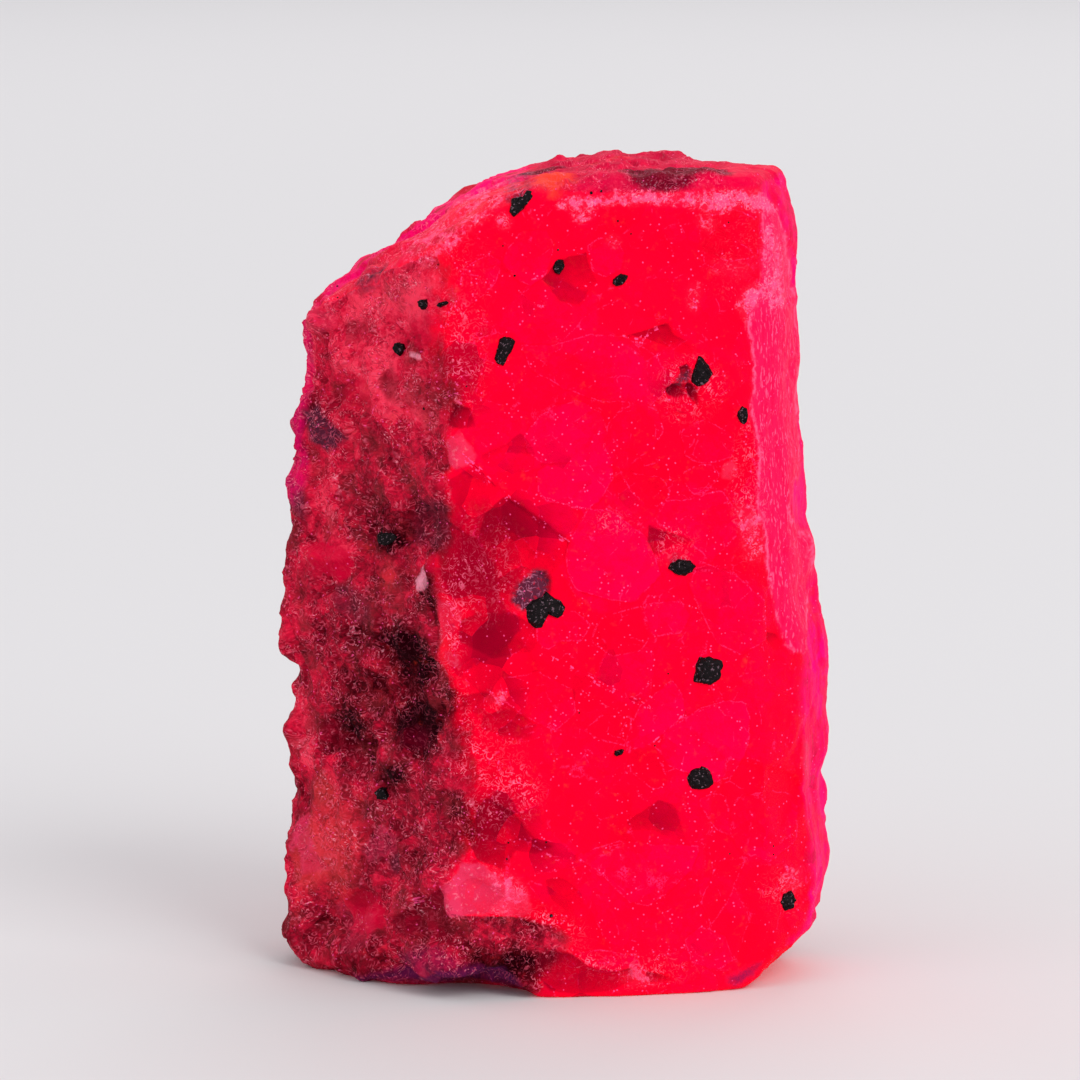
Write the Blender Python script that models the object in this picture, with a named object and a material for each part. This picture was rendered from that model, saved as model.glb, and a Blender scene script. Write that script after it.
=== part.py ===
"""A raw ruby crystal, about 50 mm tall: one solid, a rough six-sided prism broken off flat at its foot.

The stone is cut from a block by its crystal faces and breaks, worn a little, dented and swollen by
hand-placed hollows and humps, roughened by parting plates, and cut flat where it rests.

Everything is worked out in millimetres and scaled to metres at the end.
X runs across the stone, Y from its front to its back, and Z is up, with Z = 0 at the resting face.
"""

import math

import bmesh
import bpy
import numpy as np
from mathutils import Vector, noise

NODE_NAME = "ruby_crystal"
MM = 0.001

BLOCK_HALF_WIDTH = 40.0
BLOCK_TOP = 60.0
BLOCK_BOTTOM = -2.0

# Each flat face of the prism and each flat break. Turn is the way the face looks, in degrees from the
# front (-Y) towards the right (+X). Rise is how far it looks up. Then a point that it passes through.
FACES = [
    ("front prism face", 10, 2, (-6.8, -10.3, 25)),
    ("left prism face", -50, 2, (-6.8, -10.3, 25)),
    ("worn front right edge", 45, 3, (11.9, -7.1, 25)),
    ("right prism face", 78, 4, (14.2, -4.8, 25)),
    ("right back prism face", 130, 4, (16.1, 1.5, 25)),
    ("back prism face", 190, 1, (-3.0, 10.5, 25)),
    ("left back prism face", -110, 1, (-17.1, 1.4, 25)),
    ("top parting", 60, 89, (5.0, 0.0, 50.0)),
    ("head break, by the top", -90, 80, (0.3, 0.0, 49.6)),
    ("head break, upper", -88, 66, (-4.6, 0.0, 48.3)),
    ("head break, lower", -84, 54, (-11.4, 0.0, 43.8)),
    ("head corner, left back", -130, 34, (-13.0, 8.5, 42.5)),
    ("foot break, right, high", 85, -11, (16.4, 0.0, 5.7)),
    ("foot break, right, low", 80, -50, (14.6, -4.7, 2.2)),
    ("foot break, left", -78, -56, (-16.0, 0.0, 0.9)),
    ("foot break, back", 186, -48, (0.0, 10.2, 2.4)),
    ("foot break, right back", 132, -38, (11.5, 7.0, 3.0)),
    ("foot break, left front", -48, -36, (-11.6, -5.4, 1.0)),
]

# Chips struck out of the block before it wore: the middle of the hollow and its half sizes.
CHIPS = [
    ("overhung foot, left of the front", (-6.4, -10.2, -0.8), (5.4, 4.8, 2.5)),
    ("foot, left back", (-12.0, 7.5, 0.0), (4.0, 3.5, 2.6)),
    ("head, behind the top", (4.0, 13.0, 48.5), (5.0, 4.0, 3.0)),
]

# Round dents (depth below 0) and swellings (above 0): a point near the surface, the reach and the height.
DENTS_AND_SWELLINGS = [
    # hollows down the broken left face, deepest beside the front edge
    ((-9.6, -8.4, 18.5), 5.2, -1.5),
    ((-12.6, -3.8, 14.5), 3.2, -0.8),
    ((-9.4, -8.0, 28.5), 3.6, -0.8),
    ((-10.4, -6.4, 11.0), 2.8, -0.7),
    ((-13.6, -2.0, 34.5), 3.0, -0.7),
    ((-13.8, -2.4, 24.0), 3.4, 0.6),
    # steps along the broken head
    ((-8.2, 4.0, 45.6), 2.6, -0.7),
    ((-5.6, 6.0, 48.2), 2.4, 0.7),
    ((-11.0, 4.0, 43.6), 2.2, 0.4),
    ((7.0, 1.0, 49.8), 5.0, -0.9),
    # the left outline
    ((-16.9, 1.0, 33.9), 3.0, 0.6),
    ((-16.8, 1.0, 37.2), 1.8, -0.5),
    ((-17.2, 1.0, 24.0), 5.5, 0.6),
    ((-17.0, 0.5, 16.6), 2.6, -0.6),
    ((-16.9, 0.5, 7.4), 2.8, 0.4),
    # the right outline
    ((16.6, 0.0, 18.5), 7.0, 0.7),
    ((14.6, -1.0, 47.0), 4.0, 0.5),
    # the worn front
    ((3.5, -9.0, 1.5), 5.0, 0.5),
    ((-1.0, -9.6, 17.0), 4.0, -0.5),
    ((2.0, -9.2, 37.0), 5.0, 0.4),
    # the back
    ((6.0, 11.6, 36.0), 6.0, -1.3),
    ((-6.0, 10.0, 22.0), 5.0, 0.7),
    ((2.0, 11.0, 10.0), 5.0, -1.0),
    ((13.0, 5.0, 26.0), 4.0, -0.9),
]

CHIP_SMOOTHNESS = 3
WORKING_GRID = 0.6
WEAR_PASSES = 4
WEAR_STRENGTH = 0.5

# Over this share of a plate's size, its relief fades out towards the joint with the next plate.
JOINT_WIDTH = 0.22

SWELL_LENGTH = 8.0
SWELL_HEIGHT = 0.30
# Plate size and how far the plates lean and step, for the large and the small parting plates.
PLATES = [(6.5, 0.42, 0.22), (3.4, 0.30, 0.12)]

SOLID_TRIANGLES = 5600
RUBY_RED = (0.78, 0.01, 0.06, 1.0)


def remove_everything():
    for thing in list(bpy.data.objects):
        bpy.data.objects.remove(thing)


def direction(turn, rise):
    """The unit vector that a face with this turn and rise looks along."""
    turn, rise = math.radians(turn), math.radians(rise)
    return Vector(
        (
            math.sin(turn) * math.cos(rise),
            -math.cos(turn) * math.cos(rise),
            math.sin(rise),
        )
    )


def cut_away(mesh, point, outward):
    """Removes what lies beyond the plane and closes the cut with one face."""
    everything = mesh.verts[:] + mesh.edges[:] + mesh.faces[:]
    cut = bmesh.ops.bisect_plane(
        mesh, geom=everything, plane_co=point, plane_no=outward, clear_outer=True
    )
    rim = [item for item in cut["geom_cut"] if isinstance(item, bmesh.types.BMEdge)]
    bmesh.ops.edgeloop_fill(mesh, edges=rim)


def cut_block():
    """The bare crystal: a block with every face and break cut from it."""
    mesh = bmesh.new()
    bmesh.ops.create_cube(mesh, size=2.0)
    middle = (BLOCK_TOP + BLOCK_BOTTOM) / 2
    half_height = (BLOCK_TOP - BLOCK_BOTTOM) / 2
    size = (BLOCK_HALF_WIDTH, BLOCK_HALF_WIDTH, half_height)
    bmesh.ops.scale(mesh, vec=size, verts=mesh.verts)
    bmesh.ops.translate(mesh, vec=(0, 0, middle), verts=mesh.verts)
    for _, turn, rise, point in FACES:
        cut_away(mesh, Vector(point), direction(turn, rise))
    bmesh.ops.recalc_face_normals(mesh, faces=mesh.faces)
    block = bpy.data.meshes.new(NODE_NAME)
    mesh.to_mesh(block)
    mesh.free()
    return block


def chipped(mesh):
    """Strikes each chip out of the block with a rounded cutter."""
    for name, middle, half_sizes in CHIPS:
        shape = bmesh.new()
        bmesh.ops.create_icosphere(shape, subdivisions=CHIP_SMOOTHNESS, radius=1.0)
        bmesh.ops.scale(shape, vec=half_sizes, verts=shape.verts)
        bmesh.ops.translate(shape, vec=middle, verts=shape.verts)
        hollow = bpy.data.meshes.new(name)
        shape.to_mesh(hollow)
        shape.free()
        cutter = bpy.data.objects.new(name, hollow)
        cutter.hide_render = True
        cutter.display_type = "WIRE"
        bpy.context.scene.collection.objects.link(cutter)
        mesh = with_modifier(mesh, "BOOLEAN", operation="DIFFERENCE", object=cutter)
        bpy.data.objects.remove(cutter)
    return mesh


def with_modifier(mesh, kind, **settings):
    """A copy of the mesh with one modifier applied."""
    carrier = bpy.data.objects.new("carrier", mesh)
    bpy.context.scene.collection.objects.link(carrier)
    modifier = carrier.modifiers.new(kind, kind)
    for name, value in settings.items():
        setattr(modifier, name, value)
    bpy.context.view_layer.update()
    graph = bpy.context.evaluated_depsgraph_get()
    made = bpy.data.meshes.new_from_object(carrier.evaluated_get(graph))
    bpy.data.objects.remove(carrier)
    return made


def hand_placed(point):
    """How far the dents and swellings move the surface at this point."""
    height = 0.0
    for centre, reach, lift in DENTS_AND_SWELLINGS:
        near = (point - Vector(centre)).length / reach
        if near < 1:
            height += lift * (1 - near * near) ** 2
    return height


def plate_relief(point, size, lean, step):
    """Parting plates: each plate around its own seed leans its own way and stands a little proud or low."""
    distances, seeds = noise.voronoi(point / size)
    inside = min(1, (distances[1] - distances[0]) / JOINT_WIDTH)
    tilt = noise.noise_vector(seeds[0] * 5.3)
    away = point / size - seeds[0]
    return inside * (2 * lean * tilt.dot(away) + step * noise.noise(seeds[0] * 7.1))


def relief(point):
    """How far the stone's surface stands off its flat faces at this point."""
    height = hand_placed(point) + SWELL_HEIGHT * noise.noise(point / SWELL_LENGTH)
    for size, lean, step in PLATES:
        height += plate_relief(point, size, lean, step)
    return height


def roughened(mesh):
    """Moves each vertex along its normal by the relief there."""
    points = [vertex.co.copy() for vertex in mesh.vertices]
    normals = [vertex.normal.copy() for vertex in mesh.vertices]
    for vertex, point, normal in zip(mesh.vertices, points, normals):
        vertex.co = point + normal * relief(point)
    mesh.update()
    return mesh


def triangle_count(mesh):
    mesh.calc_loop_triangles()
    return len(mesh.loop_triangles)


def rested(mesh):
    """Cuts the foot flat at Z = 0, centres the stone over its resting face and scales it to metres."""
    stone = bmesh.new()
    stone.from_mesh(mesh)
    cut_away(stone, Vector((0, 0, 0)), Vector((0, 0, -1)))
    bmesh.ops.triangulate(stone, faces=stone.faces)
    corners = np.array([vertex.co for vertex in stone.verts])
    middle = (corners.min(axis=0) + corners.max(axis=0)) / 2
    bmesh.ops.translate(stone, vec=(-middle[0], -middle[1], 0), verts=stone.verts)
    bmesh.ops.scale(stone, vec=(MM, MM, MM), verts=stone.verts)
    stone.to_mesh(mesh)
    stone.free()
    return mesh


def ruby_material():
    material = bpy.data.materials.new("ruby")
    material.use_nodes = True
    shader = material.node_tree.nodes["Principled BSDF"]
    shader.inputs["Base Color"].default_value = RUBY_RED
    shader.inputs["Roughness"].default_value = 0.35
    shader.inputs["Metallic"].default_value = 0.0
    shader.inputs["IOR"].default_value = 1.76
    material.diffuse_color = RUBY_RED
    return material


def build_crystal():
    mesh = chipped(cut_block())
    mesh = with_modifier(mesh, "REMESH", mode="VOXEL", voxel_size=WORKING_GRID)
    mesh = with_modifier(mesh, "SMOOTH", factor=WEAR_STRENGTH, iterations=WEAR_PASSES)
    mesh = roughened(mesh)
    share = SOLID_TRIANGLES / triangle_count(mesh)
    mesh = rested(with_modifier(mesh, "DECIMATE", ratio=share))
    mesh.name = NODE_NAME
    mesh.materials.clear()
    mesh.materials.append(ruby_material())
    crystal = bpy.data.objects.new(NODE_NAME, mesh)
    bpy.context.scene.collection.objects.link(crystal)
    return crystal


def main():
    remove_everything()
    build_crystal()


main()
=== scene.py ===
import math
import random
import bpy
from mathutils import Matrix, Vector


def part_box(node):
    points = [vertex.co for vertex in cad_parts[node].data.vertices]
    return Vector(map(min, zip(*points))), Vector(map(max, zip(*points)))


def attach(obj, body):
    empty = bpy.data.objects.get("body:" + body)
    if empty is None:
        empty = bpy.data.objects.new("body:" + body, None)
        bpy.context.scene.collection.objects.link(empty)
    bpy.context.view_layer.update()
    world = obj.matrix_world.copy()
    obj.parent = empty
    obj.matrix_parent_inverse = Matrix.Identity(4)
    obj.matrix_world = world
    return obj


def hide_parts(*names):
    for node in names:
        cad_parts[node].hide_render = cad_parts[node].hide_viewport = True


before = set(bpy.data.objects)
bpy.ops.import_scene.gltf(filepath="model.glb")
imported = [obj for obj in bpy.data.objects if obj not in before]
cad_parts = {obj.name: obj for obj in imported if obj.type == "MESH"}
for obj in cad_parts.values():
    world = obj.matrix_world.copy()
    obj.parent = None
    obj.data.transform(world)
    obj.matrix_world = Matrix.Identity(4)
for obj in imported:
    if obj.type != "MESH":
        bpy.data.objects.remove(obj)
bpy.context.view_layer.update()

from types import SimpleNamespace

import bmesh
import bpy
import numpy as np
from mathutils import Matrix, Vector, noise
from mathutils.bvhtree import BVHTree

mm = 0.001  # the stone is modelled in millimetres and scaled to metres at the end


def srgb(red, green, blue):  # a colour as seen, 0 to 255, in Blender's linear numbers
    def linear(value):
        value /= 255
        return value / 12.92 if value <= 0.04045 else ((value + 0.055) / 1.055) ** 2.4

    return (linear(red), linear(green), linear(blue), 1.0)


class Wire:  # one output socket, so that shader maths reads as maths
    def __init__(self, net, socket):
        self.net = net
        self.socket = socket

    def also(self, name):  # another output of the same node
        return Wire(self.net, self.socket.node.outputs[name])

    def __add__(self, other):
        return self.net.maths("ADD", self, other)

    def __radd__(self, other):
        return self.net.maths("ADD", other, self)

    def __sub__(self, other):
        return self.net.maths("SUBTRACT", self, other)

    def __rsub__(self, other):
        return self.net.maths("SUBTRACT", other, self)

    def __mul__(self, other):
        return self.net.maths("MULTIPLY", self, other)

    def __rmul__(self, other):
        return self.net.maths("MULTIPLY", other, self)

    def __abs__(self):
        return self.net.add("ShaderNodeMath", {"operation": "ABSOLUTE"}, {0: self})


class Net:  # a node tree that is being wired, for a shader or for geometry
    def __init__(self, tree):
        self.tree = tree

    def add(self, kind, settings, sockets, out=0):
        node = self.tree.nodes.new(kind)
        for name, value in settings.items():
            if name == "stops":
                self.setStops(node.color_ramp, value)
            else:
                setattr(node, name, value)
        self.feed(node, sockets)
        return Wire(self, node.outputs[out]) if node.outputs else None

    def feed(self, node, sockets):  # links or fixed values for a node's inputs
        for name, value in sockets.items():
            if isinstance(value, Wire):
                self.tree.links.new(value.socket, node.inputs[name])
            else:
                node.inputs[name].default_value = value

    def setStops(self, ramp, stops):
        while len(ramp.elements) < len(stops):
            ramp.elements.new(1.0)
        for element, (position, colour) in zip(ramp.elements, stops):
            element.position = position
            element.color = colour

    def maths(self, operation, left, right):
        wires = [value for value in (left, right) if isinstance(value, Wire)]
        if all(wire.socket.type == "VALUE" for wire in wires):
            return self.add("ShaderNodeMath", {"operation": operation}, {0: left, 1: right})
        sides = [(v,) * 3 if isinstance(v, (int, float)) else v for v in (left, right)]
        return self.add("ShaderNodeVectorMath", {"operation": operation}, dict(enumerate(sides)))

    def highest(self, left, right):
        return self.maths("MAXIMUM", left, right)

    def lowest(self, left, right):
        return self.maths("MINIMUM", left, right)

    def dot(self, left, right):
        settings = {"operation": "DOT_PRODUCT"}
        return self.add("ShaderNodeVectorMath", settings, {0: left, 1: right}, "Value")

    def part(self, vector, axis):
        return self.add("ShaderNodeSeparateXYZ", {}, {0: vector}, axis)

    def step(self, value, low, high, before=0.0, after=1.0):  # before under low, after over high
        sockets = {"Value": value, "From Min": low, "From Max": high, "To Min": before, "To Max": after}
        return self.add("ShaderNodeMapRange", {"interpolation_type": "SMOOTHSTEP"}, sockets)

    def fade(self, value, low, high, strength=1.0):  # the other way round, gone over high
        return self.step(value, low, high, strength, 0.0)

    def line(self, value, thin, wide, strength=1.0):  # full where the value is 0, gone past wide
        return self.fade(abs(value), thin, wide, strength)

    def mixed(self, start, patterns, weights):  # adds patterns that lie around 0.5 by their weights
        total = start - sum(weights.values()) / 2
        for name, weight in weights.items():
            sockets = {0: getattr(patterns, name), 1: weight, 2: total}
            total = self.add("ShaderNodeMath", {"operation": "MULTIPLY_ADD"}, sockets)
        return total

    def blend(self, first, second, share):  # colours
        return self.add("ShaderNodeMix", {"data_type": "RGBA"}, {0: share, 6: first, 7: second}, 2)

    def ramp(self, value, stops):  # a colour for each value from 0 to 1
        return self.add("ShaderNodeValToRGB", {"stops": stops}, {0: value})

    def read(self, name, vector=False):  # a value kept on the mesh
        if self.tree.type == "GEOMETRY":
            kind = "FLOAT_VECTOR" if vector else "FLOAT"
            return self.add("GeometryNodeInputNamedAttribute", {"data_type": kind}, {"Name": name})
        out = "Vector" if vector else "Fac"
        return self.add("ShaderNodeAttribute", {"attribute_name": name}, {}, out)

    def noise(self, place, size, detail=2.0, roughness=0.5, out=0):  # around 0.5
        sockets = {"Vector": place, "Scale": 1 / size, "Detail": detail, "Roughness": roughness}
        return self.add("ShaderNodeTexNoise", {}, sockets, out)

    def sway(self, place, size, reach):  # a vector that bends straight patterns
        return (self.noise(place, size, 1.0, out=1) - 0.5) * (2 * reach)

    def voronoi(self, feature, place, size, out=0):
        sockets = {"Vector": place, "Scale": 1 / size}
        return self.add("ShaderNodeTexVoronoi", {"feature": feature}, sockets, out)

    def plates(self, place, size, bend):  # a mosaic: way to the joint, tone and lean of each plate
        bent = place + self.sway(place, size * 0.8, bend)
        joint = self.voronoi("DISTANCE_TO_EDGE", bent, size) * size
        colour = self.voronoi("F1", bent, size, "Color")
        away = bent - colour.also("Position")
        lean = self.dot(colour * 2 - 1, away)
        return joint, self.part(colour, 0), lean


# the edge between the broken left face and the bright front face: height, place across and how
# gradually one turns into the other, mm
frontEdge = [
    (0.0, -1.4, 0.5), (1.6, -0.9, 0.5), (2.6, 0.2, 0.5), (3.6, 0.8, 0.5), (4.3, -0.2, 0.5),
    (4.9, -1.9, 0.5), (5.5, -6.6, 0.3), (6.6, -6.8, 0.3),
    (8.4, -5.9, 0.6), (10.2, -5.2, 0.9), (12.1, -4.9, 1.0), (14.5, -5.4, 1.0), (18.0, -5.9, 0.9),
    (20.4, -6.9, 0.5), (23.0, -7.2, 0.3), (26.7, -7.0, 0.4), (28.2, -6.6, 0.4), (31.0, -6.4, 0.5),
    (34.0, -6.3, 0.8), (36.5, -6.4, 1.2), (39.5, -7.0, 1.5), (42.6, -6.6, 1.0), (44.6, -7.6, 0.9),
    (46.5, -8.8, 0.8), (50.0, -9.5, 0.8),
]

# outlines seen from the front: a strength, then corners across and up, mm
outlines = {
    # dark crimson facets, sunk into the relief and given painted shade in the material
    "crimson": [
        # big dark facet
        (0.74, [(-4.3, 29.7), (-3.1, 30.7), (-1.9, 30.0), (-0.5, 29.0), (0.9, 27.9), (0.5, 26.7),
               (-0.4, 25.8), (-1.6, 26.2), (-3.1, 26.8), (-4.7, 28.1)]),
        # under the small grain
        (0.7, [(-0.8, 43.8), (0.1, 44.8), (1.8, 45.3), (2.0, 44.5), (2.5, 43.6), (1.3, 42.1),
               (0.1, 42.5)]),
        # upper streak
        (0.8, [(4.0, 40.3), (5.3, 40.6), (6.8, 41.0), (7.1, 40.3), (8.0, 39.8), (8.3, 39.1),
               (7.5, 39.1), (6.2, 39.8), (5.3, 40.2)]),
        # beside the middle right grain
        (0.8, [(5.6, 28.7), (6.8, 28.3), (8.3, 27.9), (8.0, 27.5), (7.1, 27.6), (6.8, 27.2),
               (6.0, 26.8), (5.5, 27.9)]),
        # low feathered
        (0.55, [(4.3, 10.7), (6.3, 12.0), (7.2, 11.6), (7.7, 10.1), (8.1, 9.2), (7.2, 9.3), (6.0, 10.1),
                (4.6, 10.1)]),
        # low left
        (0.95, [(-4.7, 11.9), (-4.2, 12.5), (-2.5, 11.4), (-1.1, 9.6), (-0.2, 9.4), (-1.1, 8.9),
                (-2.5, 9.1), (-3.1, 7.9), (-4.8, 8.7), (-5.3, 9.9)]),
        # foot left
        (1.15, [(-10.0, 4.3), (-8.1, 6.0), (-6.9, 7.1), (-6.8, 5.6), (-5.7, 4.4), (-5.0, 3.0),
               (-6.9, 3.6), (-9.3, 3.5)]),
        # foot middle
        (1.0, [(-1.3, 2.4), (-0.3, 2.9), (1.0, 2.7), (2.0, 1.9), (3.6, 1.6), (4.6, 1.8), (4.8, 0.9),
               (3.3, 0.4), (1.2, 0.2), (-0.3, 0.4), (-1.2, 1.4)]),
        # left of the middle grain
        (0.6, [(-6.9, 29.4), (-4.8, 28.2), (-3.3, 26.9), (-2.0, 26.2), (-2.5, 24.6), (-2.6, 23.8),
               (-4.2, 23.4), (-6.2, 24.4), (-7.1, 26.4)]),
        # wings under the right grain
        (1.7, [(6.6, 37.0), (7.0, 37.3), (7.5, 37.4), (7.9, 37.1), (7.7, 36.6), (7.1, 36.5),
               (6.7, 36.7)]),
        (1.6, [(7.4, 38.3), (7.9, 38.5), (8.2, 38.1), (8.0, 37.8), (7.6, 37.8)]),
        (1.8, [(7.8, 37.4), (8.2, 37.3), (8.5, 37.0), (8.6, 36.4), (8.5, 36.0), (8.2, 36.3),
               (7.9, 36.7)]),
        # foot right
        (0.9, [(5.4, 1.6), (7.2, 1.0), (6.7, 0.7), (5.6, 0.8)]),
        # black rim over the middle grain
        (1.5, [(-1.2, 26.3), (-0.6, 26.4), (-0.3, 25.6), (-0.3, 24.7), (-0.7, 24.7), (-0.7, 25.5)]),
        # under the middle grain
        (0.75, [(-5.8, 23.3), (-3.3, 24.1), (-1.2, 22.7), (-1.2, 21.3), (-3.8, 20.9), (-5.8, 22.0)]),
        # upper left of the front
        (1.15, [(-6.7, 35.4), (-6.1, 36.3), (-5.2, 36.1), (-4.9, 35.0), (-5.8, 34.8), (-6.6, 35.0)]),
        # crack side
        (0.6, [(-4.7, 33.2), (-3.1, 33.9), (-2.2, 34.5), (-1.6, 34.0), (-1.2, 33.1), (-2.2, 33.3),
               (-3.4, 33.4), (-4.3, 32.8)]),
        # left plate
        (0.4, [(-6.5, 31.7), (-4.9, 32.7), (-3.4, 31.1), (-4.4, 29.8), (-5.6, 29.8), (-6.2, 30.5)]),
        # small low
        (0.35, [(0.9, 19.9), (1.0, 18.2), (2.1, 17.4), (2.9, 18.1), (3.1, 18.9), (2.1, 19.5)]),
        # middle sliver
        (0.35, [(3.4, 31.6), (3.9, 31.8), (4.5, 30.9), (5.4, 29.9), (5.8, 29.0), (5.1, 29.0),
                (4.2, 29.8), (3.4, 30.9)]),
        # left face, high
        (0.75, [(-13.3, 36.5), (-12.6, 36.9), (-12.5, 36.3), (-13.3, 35.2), (-14.0, 34.6),
                (-14.2, 35.3), (-13.8, 36.0)]),
        # left face, by the round grain
        (0.65, [(-10.7, 37.7), (-9.8, 38.1), (-9.5, 37.4), (-9.6, 36.5), (-10.2, 36.0), (-10.7, 36.7)]),
        # left face, top
        (0.6, [(-13.2, 40.2), (-12.5, 40.7), (-11.7, 40.4), (-11.5, 40.0), (-12.2, 39.1),
               (-12.9, 39.2)]),
        # left face, smooth
        (0.4, [(-16.0, 25.5), (-13.0, 25.8), (-12.8, 24.7), (-13.6, 23.7), (-14.7, 23.9),
               (-15.8, 24.4)]),
        # left face, low
        (0.7, [(-12.4, 5.4), (-11.3, 6.0), (-10.8, 5.6), (-11.4, 4.8), (-12.3, 4.3), (-12.9, 4.7)]),
        # left face, hollow
        (0.9, [(-14.7, 15.5), (-13.3, 15.8), (-13.6, 14.8), (-12.6, 15.1), (-11.6, 14.5), (-12.1, 14.0),
               (-13.2, 14.0), (-14.6, 14.4)]),
        # front left, low
        (0.6, [(-5.8, 18.7), (-4.3, 18.9), (-3.4, 18.3), (-4.6, 17.6), (-5.7, 17.7)]),
        # front left, lower
        (0.45, [(-4.3, 17.5), (-2.8, 17.8), (-1.1, 16.7), (-1.6, 15.9), (-3.4, 16.2), (-4.6, 16.7)]),
        # at the lower end of the right strip
        (0.7, [(12.9, 22.0), (13.5, 21.8), (14.1, 21.2), (14.3, 20.9), (13.4, 20.8), (12.9, 21.4)]),
        # near the foot
        (0.5, [(-0.7, 7.3), (0.3, 7.5), (1.5, 6.5), (1.8, 5.6), (0.9, 5.0), (-0.3, 6.0)]),
    ],
    "pale": [
        # big pale facet
        (1.0, [(-5.7, 8.6), (-4.3, 8.3), (-3.3, 7.3), (-1.8, 6.5), (-1.3, 5.2), (-2.2, 5.0),
               (-4.6, 5.4), (-6.6, 5.3), (-6.9, 6.9), (-6.0, 7.9)]),
        # small shell
        (0.5, [(9.9, 32.0), (10.2, 32.4), (10.7, 32.6), (11.0, 32.2), (11.0, 31.7), (10.6, 31.4),
               (10.1, 31.5)]),
        # edge blotch
        (0.8, [(-6.6, 34.1), (-5.8, 34.7), (-5.2, 33.8), (-4.7, 33.2), (-5.2, 32.7), (-6.1, 32.4),
               (-6.6, 32.8)]),
        # edge blotch, low
        (0.45, [(-7.2, 24.4), (-6.1, 24.5), (-5.6, 23.6), (-6.1, 22.6), (-7.0, 22.0)]),
        # edge blotch, lower
        (0.5, [(-7.0, 21.6), (-5.8, 21.2), (-5.7, 20.4), (-6.5, 20.6)]),
        # white chip
        (1.3, [(-8.8, 39.1), (-8.1, 39.0), (-8.4, 38.7), (-8.8, 38.9)]),
        # lilac chip
        (1.25, [(-8.7, 25.3), (-7.8, 26.2), (-7.6, 25.2), (-8.2, 24.8)]),
        # long scar
        (0.6, [(15.0, 13.9), (15.2, 15.3), (15.6, 14.2), (15.6, 13.1), (15.4, 12.0)]),
        # left face, top corner
        (0.55, [(-15.2, 42.0), (-14.8, 41.0), (-13.7, 41.0), (-13.4, 40.2), (-14.5, 39.5),
                (-15.5, 39.6)]),
        # left face, foot
        (0.7, [(-16.4, 8.4), (-15.3, 8.7), (-14.7, 7.4), (-14.1, 6.4), (-15.0, 6.1), (-15.9, 5.6)]),
        # left outline
        (1.0, [(-16.4, 9.3), (-15.8, 9.6), (-15.4, 9.1), (-15.9, 7.9), (-16.5, 6.9), (-16.8, 7.2),
               (-16.6, 8.4)]),
        # left face, plate
        (0.45, [(-11.9, 8.1), (-11.3, 9.5), (-10.7, 9.9), (-9.8, 9.3), (-10.3, 8.4), (-11.4, 7.4)]),
        # left face, low plate
        (0.25, [(-13.8, 4.2), (-13.1, 4.7), (-12.6, 3.8), (-11.1, 4.5), (-11.0, 3.1), (-11.9, 1.9),
                (-12.6, 1.9), (-13.4, 3.1)]),
        # ring
        (0.5, [(11.3, 28.9), (11.8, 29.4), (12.2, 28.9), (11.9, 28.3), (11.4, 28.3)]),
    ],
    "frost": [
        # top ridge
        (1.25, [(-0.2, 48.2), (1.2, 48.7), (2.7, 48.5), (3.9, 49.0), (5.7, 49.0), (8.7, 48.6),
               (10.8, 49.0), (12.4, 48.8), (13.3, 47.8), (13.2, 46.9), (12.7, 47.3),
               (11.9, 47.8), (10.8, 47.9), (9.6, 47.6), (8.7, 47.8), (7.5, 48.2), (5.1, 48.2),
               (3.6, 48.4), (2.1, 48.1), (1.2, 47.9)]),
        # upper left edge
        (0.5, [(-9.6, 44.9), (-8.3, 46.2), (-6.2, 47.8), (-4.6, 49.2), (-2.6, 49.8), (-2.2, 49.0),
               (-4.0, 47.6), (-5.7, 46.2), (-6.9, 45.2), (-8.4, 44.4)]),
        # right, under the ridge
        (0.3, [(9.3, 44.6), (11.4, 44.9), (12.2, 43.7), (10.8, 43.5), (9.6, 44.0)]),
        # right, high
        (0.5, [(8.4, 47.4), (9.9, 47.2), (9.4, 46.4), (8.6, 46.7)]),
        # right, middle
        (0.5, [(10.7, 30.2), (12.1, 29.8), (12.8, 27.3), (12.7, 26.3), (11.5, 26.4), (11.1, 28.3)]),
        # flecks
        (0.45, [(8.0, 43.4), (8.9, 43.3), (8.6, 42.0), (8.2, 41.4), (7.9, 42.3)]),
        (0.35, [(3.1, 46.5), (3.9, 46.0), (3.6, 45.4), (2.8, 46.0)]),
        (0.7, [(1.0, 47.7), (1.8, 48.2), (2.3, 47.6), (1.3, 47.0)]),
        # head, by the grain
        (0.6, [(-3.3, 47.9), (-2.6, 47.5), (-2.9, 46.7), (-3.6, 47.1)]),
        # right strip, high
        (0.75, [(12.4, 46.9), (13.3, 46.6), (13.7, 44.0), (13.9, 41.6), (12.6, 41.4), (12.4, 43.0)]),
        # right ledge
        (0.9, [(11.0, 42.1), (11.9, 43.3), (12.8, 43.1), (12.2, 42.2), (11.8, 40.9), (11.2, 41.4)]),
        # front left ledge
        (0.9, [(-4.2, 18.4), (-3.5, 18.8), (-3.0, 18.6), (-3.6, 18.1)]),
        # beside the pale facet
        (0.55, [(-4.3, 8.1), (-2.5, 7.8), (-1.4, 6.3), (-2.9, 5.5), (-4.0, 6.8)]),
        # foot, middle
        (0.7, [(4.0, 1.8), (5.1, 2.0), (5.7, 1.3), (6.1, 0.6), (4.2, 0.7)]),
        # foot, right
        (0.6, [(14.1, 7.2), (15.1, 7.1), (15.2, 5.5), (13.9, 6.0)]),
    ],
    "strip": [
        # right strip
        (1.0, [(12.5, 48.4), (13.3, 47.8), (13.7, 46.3), (14.0, 44.2), (14.3, 41.6), (14.5, 40.4),
               (14.9, 38.3), (14.9, 34.0), (15.3, 30.5), (14.7, 30.7), (14.2, 29.5), (14.1, 28.9),
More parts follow.
